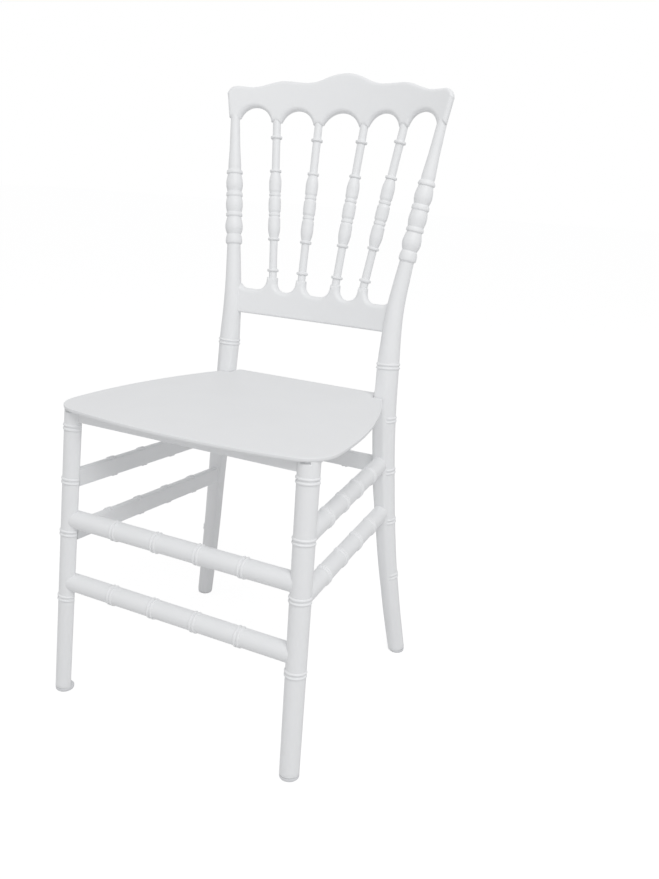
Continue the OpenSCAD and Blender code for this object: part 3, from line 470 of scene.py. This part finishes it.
def rear_rows():
    """Heights of the rows: close together at the rings and in the turned part of the post."""
    leg = GLIDE_TOP + stations(SEAT_UNDER - GLIDE_TOP, np.array(REAR_RINGS) - GLIDE_TOP)
    ring = POST_RING - RING_ZONE + stations(2 * RING_ZONE, [RING_ZONE], 2.0)
    z = np.concatenate([leg, GLIDE_TOP + FOOT_ROWS,
                        np.arange(SEAT_UNDER, POST_RING - RING_ZONE, 2.0), ring,
                        np.arange(POST_RING + RING_ZONE, TURNED_FROM, 6.0),
                        np.arange(TURNED_FROM, TURNED_TO, 0.5),
                        np.linspace(TURNED_TO, CREST_Z + INTO_CREST, 14)])
    return np.unique(z.round(4))


def square_corner(z):
    """Factor on the radius: two flats square to each other, capped, and faded in by height."""
    flats = np.minimum(flat_side(math.pi, CORNER), flat_side(-math.pi / 2, CORNER))
    corner = soft_min(flats, np.full(AROUND, CORNER_CAP), CORNER_SHARP)
    inner = step(np.cos(angle - CORNER_TURN) - math.cos(CORNER_SPREAD), CORNER_FADE)
    return 1 + (corner - 1)[None] * inner[None] * np.interp(z, SQUARE_Z, SQUARE_SHARE)[:, None]


def rear_leg(mirror):
    """Radius: leg or post profile, plus rings, times the factor of the square inner corner."""
    z = rear_rows()
    base = np.where(z <= POST_RING, np.interp(z, LEG_Z, LEG_R), rounded(CREST_Z - z, post_profile))
    outer = step((RING_TO - RING_FROM) / 2 - turned_from((RING_FROM + RING_TO) / 2), RING_FADE)
    radius = ((base - foot_round(z - GLIDE_TOP) + ring_height(z, [POST_RING]))[:, None]
              + ring_height(z, REAR_RINGS)[:, None] * outer[None])
    return closed_tube(carried(rear_path(z), ACROSS, radius * square_corner(z)) * mirror)


print("rows of the rear leg:", len(rear_rows()))

# %% Make the four legs
for side, mirror in (("right", np.ones(3)), ("left", MIRROR)):
    piece(f"front_leg_surface_{side}", [front_leg(mirror)], white_frame, "white_polypropylene",
          f"front_leg_{side}")
    piece(f"rear_leg_surface_{side}", [rear_leg(mirror)], white_frame, "white_polypropylene",
          f"rear_leg_{side}")

# %% [markdown]
# ## Stretchers
#
# The stretchers copy split bamboo: round outside with four ring pairs, and
# flat inside, where the moulding is open towards the floor of the tool. Each
# one reaches into the legs, as its tenon does on the real chair, so no gap
# can show at its ends.

# %% Stretcher surface
BAR_R, BAR_FLAT, PAIR_STEP, INTO_LEG = 13.5, 0.45, 0.185, 4.0
# Sides of a bar as seen from above, on the way from its start to its end.
LEFT, RIGHT = -math.pi / 2, math.pi / 2


def stretcher(start, end, flat_to):
    """A level bar: radius plus rings, cut by a flat along one side."""
    total = np.linalg.norm(end - start)
    pairs = total * (0.5 + PAIR_STEP * np.array([-1.5, -0.5, 0.5, 1.5]))
    s = stations(total, pairs)
    s = s[(s >= INTO_LEG) & (s <= total - INTO_LEG)]
    path = start + (end - start) * (s / total)[:, None]
    radius = BAR_R + ring_height(s, pairs)[:, None] * np.ones(AROUND)[None]
    radius = soft_min(radius, flat_side(flat_to, BAR_FLAT * BAR_R)[None])
    return closed_tube(carried(path, UP, radius))


def front_axis(z):
    """Centre of the right front leg at a height."""
    return at_height(front_foot, front_top, z)


def rear_axis(z):
    """Centre of the right rear leg at a height."""
    return rear_path(np.array([z]))[0]


# %% Make the stretchers
FRONT_BAR_Z = {"upper": 272.0, "lower": 175.0}
SIDE_BAR_Z = {"upper": 332.0, "lower": 251.0}
REAR_BAR_Z = 328.0
# How far the axis of a side bar lies inside the axes of its front and rear leg.
BAR_FRONT_IN, BAR_REAR_IN = 1.52, 7.2

for name, z in FRONT_BAR_Z.items():
    right_end = front_axis(z)
    piece(f"front_bamboo_bar_{name}", [stretcher(right_end * MIRROR, right_end, LEFT)],
          white_frame, "white_polypropylene", f"front_stretcher_{name}")
for name, z in SIDE_BAR_Z.items():
    start, end = front_axis(z) - BAR_FRONT_IN * ACROSS, rear_axis(z) - BAR_REAR_IN * ACROSS
    piece(f"side_bamboo_bar_right_{name}", [stretcher(start, end, LEFT)],
          white_frame, "white_polypropylene", f"right_stretcher_{name}")
    piece(f"side_bamboo_bar_left_{name}", [stretcher(start * MIRROR, end * MIRROR, RIGHT)],
          white_frame, "white_polypropylene", f"left_stretcher_{name}")
right_end = rear_axis(REAR_BAR_Z)
piece("rear_bamboo_bar", [stretcher(right_end * MIRROR, right_end, RIGHT)],
      white_frame, "white_polypropylene", "rear_stretcher")

# %% [markdown]
# ## Side rails under the seat
#
# A low rail joins the front and rear leg on each side, just under the panel.
# It runs inwards towards the back, so that the panel's edge covers it, and its
# long edges are rounded like those of any moulding.

# %% Side rail surface
RAIL_HALF, RAIL_LOW, RAIL_ROUND, RAIL_REAR_X = 6.5, 420.5, 2.0, 140.0


def straight_rail(start, end):
    """A section with four round corners, drawn at both ends of a level line."""
    level = np.array([1.0, 1.0, 0.0])
    across = np.cross(unit((end - start) * level), UP)
    x, z = RAIL_HALF - RAIL_ROUND, (SEAT_UNDER - RAIL_LOW) / 2 - RAIL_ROUND
    a = np.radians(np.linspace(0, 90, 8))[None] + np.pi / 2 * np.arange(4)[:, None]
    u = (x * np.array([[1], [-1], [-1], [1]]) + RAIL_ROUND * np.cos(a)).ravel()
    v = (z * np.array([[1], [1], [-1], [-1]]) + RAIL_ROUND * np.sin(a)).ravel()
    v = v + (SEAT_UNDER + RAIL_LOW) / 2
    ends = np.array([start, end])[:, None] * level
    return closed_tube(ends + u[None, :, None] * across + v[None, :, None] * UP)


rail_front, rail_rear = front_axis(RAIL_LOW), rear_axis(RAIL_LOW)
rail_rear[0] = RAIL_REAR_X
for side, mirror in (("right", np.ones(3)), ("left", MIRROR)):
    piece(f"side_rail_{side}", [straight_rail(rail_front * mirror, rail_rear * mirror)],
          white_frame, "white_polypropylene", f"{side}_seat_rail")

# %% [markdown]
# ## Two scalloped rails with soft edges
#
# The crest rail and the lower back rail are curved plates: each is an outline
# drawn on a plane that leans back with the posts, bent to a bow. An outline is
# held as a lower and an upper curve with the same number of points, one pair
# above the other, and the plate is filled with rows between them.
#
# The soft edges come from one rule. A point at distance d from the outline
# lies as far from the middle plane as a round of the edge's radius says, and
# from one radius inwards the face is flat. The distance is measured to the
# whole outline, so the rounds of two neighbouring arches meet cleanly in the
# narrow foot between them.

# %% Rounded plates
rake = math.atan2(post_top[1] - post_bend[1], post_top[2] - post_bend[2])
# Shares of the way from the lower to the upper curve, close together where the edges turn.
ROWS = np.concatenate([[0, 0.0004, 0.0015, 0.004, 0.008], np.linspace(0.014, 0.986, 61),
                       [0.992, 0.996, 0.9985, 0.9996, 1]])
print("the back leans", round(math.degrees(rake), 2), "degrees")


def even(curve, count):
    """The same curve with points at equal distances along it."""
    s = np.concatenate([[0], np.cumsum(np.linalg.norm(np.diff(curve, axis=0), axis=1))])
    t = np.linspace(0, s[-1], count)
    return np.stack([np.interp(t, s, curve[:, k]) for k in range(2)], 1)


def distance(points, curve):
    """Distance from each point to a curve: to the nearest point of its nearest straight part."""
    start, run = curve[:-1], np.diff(curve, axis=0)
    square = np.maximum((run ** 2).sum(axis=1), 1e-12)
    gap = points[:, None] - start[None]
    t = np.clip(np.einsum("ijk,jk->ij", gap, run) / square, 0, 1)
    return np.linalg.norm(gap - t[..., None] * run, axis=-1).min(axis=1)


def round_edge(d, radius, thickness):
    """Half thickness at distance d from an edge: t/2 - r + sqrt(r^2 - (r - d)^2), then t/2."""
    inside = np.clip(radius - d, 0, radius)
    return thickness / 2 - radius + np.sqrt(radius ** 2 - inside ** 2)


def plate(lower, upper, low_edge, high_edge, thickness, place):
    """Loops up the front of a plate and down its back, with one edge radius below, one above."""
    xz = lower[:, None] + (upper - lower)[:, None] * ROWS[None, :, None]
    half = np.array([np.minimum(round_edge(distance(row, lower), low_edge, thickness),
                                round_edge(distance(row, upper), high_edge, thickness))
                     for row in xz])
    loop, w = np.concatenate([xz, xz[:, ::-1]], 1), np.concatenate([-half, half[:, ::-1]], 1)
    return place(loop[..., 0], loop[..., 1], w)


def bowed(half, bow, back, origin):
    """Places plate points: a bow about a far axis, then the rake about the foot of the plate."""
    r = (half ** 2 + bow ** 2) / (2 * bow)

    def place(x, z, w):
        y = np.sqrt((r + w) ** 2 - x ** 2) - r + bow + back
        return np.stack([x, origin[1] + y * math.cos(rake) + z * math.sin(rake),
                         origin[2] - y * math.sin(rake) + z * math.cos(rake)], -1)
    return place


def merged(points):
    """Vertices and faces of a tube whose end loops fold flat, with doubled points made one."""
    rows, around = points.shape[:2]
    flat, index = np.unique(points.reshape(-1, 3).round(3), axis=0, return_inverse=True)
    index = index.reshape(rows, around)
    right = np.roll(index, -1, axis=1)
    quads = np.stack([index[:-1], right[:-1], right[1:], index[1:]], -1).reshape(-1, 4)
    faces = [list(dict.fromkeys(q)) for q in quads.tolist()]
    return flat, [f for f in faces if len(f) > 2]


# %% [markdown]
# ### Crest rail
#
# Its top edge has a broad rise in the middle and a low hump at each side,
# each a squared cosine. Below, a round arch springs between every two of the
# six feet that the posts and spindles enter. The edges of the arches are
# almost fully round. Those of the top and the corners have a smaller radius.

# %% Crest rail outline
CREST_HALF, CREST_BOW, CREST_T, CREST_BACK = 178.0, 32.0, 14.6, 0.4
CREST_LOW_EDGE, CREST_TOP_EDGE = 7.0, 5.5
CREST_END, CREST_RISE, CREST_REACH = 51.0, 29.5, 100.0
HUMP_RISE, HUMP_X, HUMP_REACH = 14.0, 100.0, 60.0
ARCH_H, FOOT_W, FOOT_STEP, CREST_CORNER = 20.5, 16.5, 0.8, 16.0
crest_feet = np.array([-178.0, -111.0, -40.0, 40.0, 111.0, 178.0])


def hump(t):
    """One in the middle, falling as a squared cosine to nothing at 1."""
    return np.cos(np.pi / 2 * np.clip(t, -1, 1)) ** 2


def crest_top(x):
    """Height of the rail's upper edge at x, without its round corners."""
    return (CREST_END + CREST_RISE * hump(x / CREST_REACH)
            + HUMP_RISE * hump((np.abs(x) - HUMP_X) / HUMP_REACH))


def arc(cx, cz, r, start, end, count):
    """Points on a circle between two angles in degrees."""
    a = np.radians(np.linspace(start, end, count))
    return np.stack([cx + r * np.cos(a), cz + r * np.sin(a)], 1)


def arch(left, right, rise):
    """A round arch that springs from two points on the line z = 0."""
    half = (right - left) / 2
    r = (half ** 2 + rise ** 2) / (2 * rise)
    spring = math.degrees(math.asin((r - rise) / r))
    return arc((left + right) / 2, rise - r, r, 180 - spring, spring, 72)


def foot(left):
    """Level points under one foot, from just inside its left edge to just inside its right one."""
    x = left + np.linspace(FOOT_STEP, FOOT_W - FOOT_STEP, 14)
    return np.stack([x, np.zeros_like(x)], 1)


# The ends of the rail lean outwards like the posts, up to their round corners.
foot_x = CREST_HALF + FOOT_W / 2
end_x = foot_x + CREST_END * (post_top[0] - post_bend[0]) / (post_top[2] - post_bend[2])
inner_x = end_x - CREST_CORNER
corner_z = crest_top(inner_x) - CREST_CORNER
right_side = np.linspace([foot_x, 0], [end_x, corner_z], 40)


def crest_top_rounded(x):
    """Height of the upper edge at x, with a round of radius CREST_CORNER at each end."""
    over = np.clip(np.abs(x) - inner_x, 0, None)
    corner = corner_z + np.sqrt(np.clip(CREST_CORNER ** 2 - over ** 2, 0, None))
    return np.where(over > 0, corner, crest_top(x))


# %% Make the crest rail
# Under the first foot the points are one step apart, and there are a few more of them.
first_x = -foot_x + FOOT_STEP * np.arange(1, 20)
crest_lower = [(right_side * [-1, 1])[::-1], np.stack([first_x, np.zeros_like(first_x)], 1)]
for left, right in zip(crest_feet[:-1], crest_feet[1:]):
    crest_lower += [arch(left + FOOT_W / 2, right - FOOT_W / 2, ARCH_H), foot(right - FOOT_W / 2)]
crest_lower = np.concatenate([*crest_lower, right_side])
crest_lower = crest_lower[np.diff(crest_lower[:, 0], prepend=-np.inf) > 1e-6]
crest_upper = np.stack([crest_lower[:, 0], crest_top_rounded(crest_lower[:, 0])], 1)
crest_place = bowed(CREST_HALF, CREST_BOW, CREST_BACK, post_top)
crest_points = plate(crest_lower, crest_upper, CREST_LOW_EDGE, CREST_TOP_EDGE, CREST_T, crest_place)
piece("crest_rail_surface", [merged(crest_points)], white_frame, "white_polypropylene",
      "crest_rail")

# %% [markdown]
# ### Lower back rail
#
# The rail's upper edge has a hollow with round corners between every two
# spindles and at the posts, so the peaks between the hollows flow into the
# feet of the spindles. Its ends run into the posts.

# %% Lower rail outline
LOW_Z, LOW_H, LOW_PEAK, LOW_T, LOW_BOW = 538.0, 41.0, 63.0, 17.0, 19.0
LOW_LOW_EDGE, LOW_TOP_EDGE = 3.0, 7.5
PEAK_W, PEAK_SLOPE, HOLLOW_R = 16.5, 0.25, 16.0
POST_CORNER, POST_SIDE, INTO_POST = 7.0, 7.4, 1.0
low_feet = np.array([-82.0, -31.0, 31.0, 82.0])
low_end = rear_axis(LOW_Z)


def hollow(left, right):
    """A flat bottom between two quarter circles, from one peak's side down and up the next."""
    down = arc(left + HOLLOW_R, LOW_H + HOLLOW_R, HOLLOW_R, 180, 270, 24)
    up = arc(right - HOLLOW_R, LOW_H + HOLLOW_R, HOLLOW_R, 270, 360, 24)
    return [[[left - PEAK_SLOPE, LOW_PEAK]], down, up, [[right + PEAK_SLOPE, LOW_PEAK]]]


# %% Make the lower rail
post_side, rail_tip = low_end[0] - POST_SIDE, low_end[0] - INTO_POST
peaks = np.repeat(low_feet, 2) + np.tile([-0.5, 0.5], 4) * PEAK_W
edges = [-post_side, *peaks, post_side]
upper = np.concatenate([part for left, right in zip(edges[::2], edges[1::2])
                        for part in hollow(left, right)])
# At the posts the hollow's round is cut off level, so that the rail ends in the post.
at_post = (np.abs(upper[:, 0]) > low_feet[-1] + PEAK_W) & (upper[:, 1] > LOW_H + POST_CORNER)
tips = np.array([[-rail_tip, LOW_H + POST_CORNER], [rail_tip, LOW_H + POST_CORNER]])
low_upper = even(np.concatenate([tips[:1], upper[~at_post], tips[1:]]), 700)
low_place = bowed(low_end[0], LOW_BOW, 0, low_end)
low_points = plate(low_upper * [1, 0], low_upper, LOW_LOW_EDGE, LOW_TOP_EDGE, LOW_T, low_place)
piece("lower_back_rail_surface", [closed_tube(low_points)], white_frame, "white_polypropylene",
      "lower_back_rail")

# %% [markdown]
# ## Spindles
#
# Four slim turned spindles fan out between the two rails. Each has six rings.
# Between the second and the fifth it swells to two vases with a barrel between
# them. The profile is a list of places as shares of the length, with the
# radius at each.

# %% Spindle surface
PLAIN, VASE, BARREL, INTO_RAIL = 6.3, 10.0, 10.1, 6.0
BAND, BAND_HALF, BAND_REACH, BAND_ROWS, SPINDLE_ROWS = 9.3, 2.3, 3.0, 25, 160
RINGS_AT = np.array([0.046, 0.250, 0.408, 0.537, 0.690, 0.905])
SWELL_STEP, BARREL_AT = 0.013, 0.472
# Half a groove's width and the distances to the vase's and the barrel's lip, as shares.
GROOVE_R, GROOVE_HALF, VASE_LIP, BARREL_LIP = PLAIN + 0.55 * (VASE - PLAIN), 0.016, 0.022, 0.024


def spindle_profile():
    """Places as shares of the length with radii: plain, vase, groove, barrel, and back again.

    The vase swells from the plain part as PLAIN + (VASE - PLAIN) sin(a), a from 0 to 90 degrees.
    """
    k = np.arange(7)
    vase = np.stack([SWELL_STEP * k, PLAIN + (VASE - PLAIN) * np.sin(np.radians(15 * k))], 1)
    groove = np.array([[-VASE_LIP, VASE - 0.4], [-GROOVE_HALF, GROOVE_R],
                       [GROOVE_HALF, GROOVE_R], [BARREL_LIP, VASE - 0.2]])
    back = [-1, 1]
    return np.concatenate([[[0, PLAIN]], vase + [RINGS_AT[1], 0], groove + [RINGS_AT[2], 0],
                           [[BARREL_AT, BARREL]], groove[::-1] * back + [RINGS_AT[3], 0],
                           vase[::-1] * back + [RINGS_AT[4], 0], [[1, PLAIN]]])


def spindle(foot, top):
    """Radius: the profile, raised to BAND near a ring by sqrt(1 - (d / BAND_HALF)^4)."""
    length = np.linalg.norm(top - foot)
    near = [c * length + np.linspace(-BAND_REACH, BAND_REACH, BAND_ROWS) for c in RINGS_AT]
    even_rows = np.linspace(-INTO_RAIL, length + INTO_RAIL, SPINDLE_ROWS)
    s = np.unique(np.concatenate([even_rows, *near]))
    base = np.interp(s / length, *spindle_profile().T)
    d = np.abs(s[:, None] - RINGS_AT[None] * length).min(axis=1)
    band = np.sqrt(np.clip(1 - (d / BAND_HALF) ** 4, 0, None))
    radius = base + (np.maximum(BAND, base) - base) * band
    path = foot + (top - foot) * (s / length)[:, None]
    return closed_tube(carried(path, ACROSS, radius[:, None] * np.ones(AROUND)))


# %% Make the spindles
tops = crest_place(crest_feet[1:-1], np.zeros(4), np.zeros(4))
feet = low_place(low_feet, np.full(4, LOW_PEAK), np.zeros(4))
for k in range(4):
    piece(f"turned_spindle_{k + 1}", [spindle(feet[k], tops[k])], white_frame,
          "white_polypropylene", f"back_spindle_{k + 1}")

# %% [markdown]
# ## Seat panel
#
# The seat is one thin moulded plate. Its front edge bows out between two large
# round corners, its sides narrow towards the back, and a tongue passes between
# the posts. The outline is carried from a middle point outwards underneath,
# round the edge, which is rounder below than above, and back in on top.

# %% Seat outline
SEAT_HALF, SEAT_BOW, SEAT_CORNER, SEAT_REAR = 212.0, 24.0, 49.0, 194.0
REAR_HALF, SMALL_R, TINY_R = 151.0, 6.0, 1.5
# From the axis of the rear leg to the panel: the leg's radius and a gap of 1.5 mm.
LEG_ROOM = 17.7
leg_at_seat = rear_axis(SEAT_TOP)
NOTCH_Y, TONGUE_X = leg_at_seat[1] + depth_middle - LEG_ROOM, leg_at_seat[0] - LEG_ROOM

# The front is a wide arc that touches the corner's circle where both have turned this far.
bow_r = (SEAT_HALF ** 2 + SEAT_BOW ** 2) / (2 * SEAT_BOW)
bow_turn = math.asin((SEAT_HALF - SEAT_CORNER) / (bow_r - SEAT_CORNER))
corner_x = (bow_r - SEAT_CORNER) * math.sin(bow_turn)
corner_y = bow_r - SEAT_FRONT - (bow_r - SEAT_CORNER) * math.cos(bow_turn)
front_end = math.degrees(bow_turn) - 90


def seat_side(count=60):
    """The side from the corner to the notch: it draws in with the square of the way back."""
    t = np.linspace(0, 1, count)[1:]
    return np.stack([SEAT_HALF - (SEAT_HALF - REAR_HALF) * t ** 2,
                     corner_y + (NOTCH_Y - SMALL_R - corner_y) * t], 1)


# After the side come the corner before the leg, the notch's inner corner and the tongue's end.
half_outline = np.concatenate([
    arc(0, bow_r - SEAT_FRONT, bow_r, -90, front_end, 60),
    arc(corner_x, corner_y, SEAT_CORNER, front_end, 0, 60)[1:], seat_side(),
    arc(REAR_HALF - SMALL_R, NOTCH_Y - SMALL_R, SMALL_R, 25, 90, 12),
    arc(TONGUE_X + TINY_R, NOTCH_Y + TINY_R, TINY_R, 270, 180, 6),
    arc(TONGUE_X - SMALL_R, SEAT_REAR - SMALL_R, SMALL_R, 0, 90, 12), [[0, SEAT_REAR]]])
outline = np.concatenate([half_outline, (half_outline * [-1, 1])[::-1][1:-1]])
outline = even(np.concatenate([outline, outline[:1]]), 901)[:-1]
print("seat outline:", len(outline), "points,", np.ptp(outline, axis=0).round(1), "mm across")


# %% Seat surface
LOW_ROUND, TOP_ROUND = 3.0, 1.2
# The rows between the middle and the rim, as shares of the rim's distance from the middle.
SHARES = np.array([0.02, 0.2, 0.45, 0.7, 0.85, 0.94, 0.98])[:, None, None]


def seat_surface():
    """Rows from the middle of the underside out, round the edge, and back to the middle on top."""
    closed = np.concatenate([outline[-1:], outline, outline[:1]])
    run = unit(np.gradient(closed, axis=0))[1:-1]
    out = np.stack([run[:, 1], -run[:, 0]], 1)
    thick, v = SEAT_TOP - SEAT_UNDER, np.linspace(0, np.pi / 2, 9)
    inset = np.concatenate([LOW_ROUND * (1 - np.cos(v[::-1])), TOP_ROUND * (1 - np.cos(v))])
    height = np.concatenate([LOW_ROUND * (1 - np.sin(v[::-1])),
                             thick - TOP_ROUND * (1 - np.sin(v))])
    rim = outline[None] - out[None] * inset[:, None, None]
    plan = np.concatenate([rim[0] * SHARES, rim, rim[-1] * SHARES[::-1]])
    z = SEAT_UNDER + np.concatenate([np.zeros(len(SHARES)), height, np.full(len(SHARES), thick)])
    z = np.broadcast_to(z[:, None, None], (*plan.shape[:2], 1))
    return closed_tube(np.concatenate([plan - [0, depth_middle], z], axis=-1))


def turned(centre, profile, count=48):
    """A lathe shape: radius and height pairs carried round an upright axis."""
    a = np.arange(count) * 2 * np.pi / count
    r, z = np.array(profile, float).T
    x, y = centre[0] + r[:, None] * np.cos(a), centre[1] + r[:, None] * np.sin(a)
    return closed_tube(np.stack([x, y, np.broadcast_to(z[:, None], x.shape)], -1))


# %% [markdown]
# Four short round bosses under the panel take the screws. Each stands over a
# screw of the CAD model, whose middle gives its place.

# %% Make the seat panel
BOSS_H, BOSS_R = 4.0, 6.5
screw_points = np.array([v.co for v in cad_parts["seat_screws"].data.vertices]) / MM
bosses = []
for sx in (-1, 1):
    for sy in (-1, 1):
        own = screw_points[(screw_points[:, 0] * sx > 0) & (screw_points[:, 1] * sy > 0)]
        middle = (own.min(axis=0) + own.max(axis=0)) / 2
        bosses.append(turned(middle[:2], [[BOSS_R, SEAT_UNDER - BOSS_H], [BOSS_R, SEAT_UNDER + 1]]))
piece("seat_panel_surface", [seat_surface(), *bosses], white_seat, "white_polypropylene",
      "seat_panel")

# %% [markdown]
# ## Glides under the legs
#
# A round plug of tougher, slightly greyer polyethylene closes the lower end of
# each leg. Its lower edge is rounded, so that it slides over carpet.

# %% Glides
REAR_FOOT_R = 12.5


def glide_profile(r):
    """Radius and height pairs: a flat base, a round lower edge and a small bevel at the top."""
    return [[r - 2.2, 0], [r - 1.2, 0.3], [r - 0.4, 1.0], [r, 2.2], [r, GLIDE_TOP - 0.3],
            [r - 0.5, GLIDE_TOP + 0.4]]


for name, centre, r in (("front", front_axis(GLIDE_TOP), FRONT_FOOT_R),
                        ("rear", rear_axis(GLIDE_TOP), REAR_FOOT_R)):
    for side, mirror in (("right", 1), ("left", -1)):
        piece(f"glide_{name}_{side}", [turned((centre[0] * mirror, centre[1]), glide_profile(r))],
              white_glide, "glide_polymer", f"foot_glide_{name}_{side}")

# %% [markdown]
# ## The pieces that stay as they came
#
# The front and rear seat rails, the corner blocks and the screws have the right
# shape in the CAD model already, so they only get their materials.

# %% Materials on the CAD nodes
for name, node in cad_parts.items():
    finish = zinc if "screws" in name else white_glide if "glide" in name else white_frame
    node.data.materials.clear()
    node.data.materials.append(finish)
print("CAD nodes dressed:", len(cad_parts))

# %% [markdown]
# ## Light, floor and background
#
# The studio has a large soft light high on the right in front, a faint one on
# the left, and pale surroundings that give most of the light. The surroundings
# look white to the camera and to reflections. The floor looks white to the
# camera too, but the object keeps a soft shadow on it, because only a share of
# the floor's colour is its own light.

# %% World
ROOM_LIGHT = 0.6
world = bpy.data.worlds.new("pale_studio")
bpy.context.scene.world = world
world.use_nodes = True
sky = world.node_tree
seen = add_node(sky, "ShaderNodeLightPath")
direct = seen.outputs["Is Camera Ray"]
for way in ("Is Glossy Ray", "Is Transmission Ray"):
    either = add_node(sky, "ShaderNodeMath", {"operation": "MAXIMUM"})
    sky.links.new(direct, either.inputs[0])
    sky.links.new(seen.outputs[way], either.inputs[1])
    direct = either.outputs[0]
white_sky = add_node(sky, "ShaderNodeBackground", Color=linear("#FFFFFF"), Strength=1.0)
room_sky = add_node(sky, "ShaderNodeBackground", Color=linear("#FAFAFB"), Strength=ROOM_LIGHT)
mix = add_node(sky, "ShaderNodeMixShader", Fac=direct)
sky.links.new(room_sky.outputs[0], mix.inputs[1])
sky.links.new(white_sky.outputs[0], mix.inputs[2])
sky.links.new(mix.outputs[0], sky.nodes["World Output"].inputs["Surface"])
print("room light:", ROOM_LIGHT)

# %% Floor
FLOOR_HALF, GLOW, GLOW_SHARE = 20.0, 1.2, 0.72
floor_corners = np.array([[-1, -1, 0], [1, -1, 0], [1, 1, 0], [-1, 1, 0]]) * FLOOR_HALF
floor_mesh = bpy.data.meshes.new("floor")
floor_mesh.from_pydata(floor_corners.tolist(), [], [(0, 1, 2, 3)])
floor = bpy.data.objects.new("floor", floor_mesh)
bpy.context.scene.collection.objects.link(floor)
floor_paint = bpy.data.materials.new("matt_white_backdrop_paint")
floor_paint.use_nodes = True
paint = floor_paint.node_tree
paint.nodes.remove(paint.nodes["Principled BSDF"])
matt = add_node(paint, "ShaderNodeBsdfDiffuse", Color=linear("#E8E8E8"))
glow = add_node(paint, "ShaderNodeEmission", Color=linear("#FFFFFF"), Strength=GLOW)
path_seen = add_node(paint, "ShaderNodeLightPath")
share = add_node(paint, "ShaderNodeMath", {"operation": "MULTIPLY"})
paint.links.new(path_seen.outputs["Is Camera Ray"], share.inputs[0])
share.inputs[1].default_value = GLOW_SHARE
floor_mix = add_node(paint, "ShaderNodeMixShader", Fac=share.outputs[0])
paint.links.new(matt.outputs[0], floor_mix.inputs[1])
paint.links.new(glow.outputs[0], floor_mix.inputs[2])
paint.links.new(floor_mix.outputs[0], paint.nodes["Material Output"].inputs["Surface"])
floor_mesh.materials.append(floor_paint)
print("floor:", 2 * FLOOR_HALF, "m wide")


# %% Lamps
def soft_lamp(name, place, aim, size, power):
    """A square area lamp at a place in metres, turned towards another place."""
    lamp = bpy.data.lights.new(name, "AREA")
    lamp.shape, lamp.size, lamp.energy = "SQUARE", size, power
    obj = bpy.data.objects.new(name, lamp)
    back = unit(np.array(place, float) - aim)
    across = unit(np.cross(UP, back))
    turn = np.stack([across, np.cross(back, across), back], 1)
    obj.matrix_world = Matrix.Translation(place) @ Matrix(turn.tolist()).to_4x4()
    bpy.context.scene.collection.objects.link(obj)


CHAIR_MIDDLE = (0.0, 0.0, 0.5)
soft_lamp("key_light", (1.5, -1.45, 2.7), CHAIR_MIDDLE, 1.6, 35)
soft_lamp("fill_light", (-2.2, -1.6, 1.7), CHAIR_MIDDLE, 2.0, 4)

# %% [markdown]
# ## Camera
#
# The camera stands where the photograph was taken from: in front of the chair
# and to its right, as high as the middle of its spindles. It looks down at the
# seat and is tilted sideways by three degrees. Its place and turn were fitted
# to the feet, the seat and the rings of the legs.

# %% Camera
camera_data = bpy.data.cameras.new("camera")
camera_data.lens, camera_data.sensor_width = 34.62, 36.0
camera_data.clip_start, camera_data.clip_end = 0.05, 60.0
camera = bpy.data.objects.new("camera", camera_data)
# The columns are the camera's right, its up and the way back to it from what it sees.
camera_turn = Matrix(((0.8919, -0.1815, 0.4143),
                      (0.4487, 0.2403, -0.8608),
                      (0.0567, 0.9536, 0.2957)))
camera_place = point(626.2, -1007.5, 760.4) * MM
camera.matrix_world = Matrix.Translation(camera_place) @ camera_turn.to_4x4()
bpy.context.scene.collection.objects.link(camera)
bpy.context.scene.camera = camera
bpy.context.scene.view_settings.view_transform = "Standard"
print("camera at", [round(v, 3) for v in camera_place], "m")
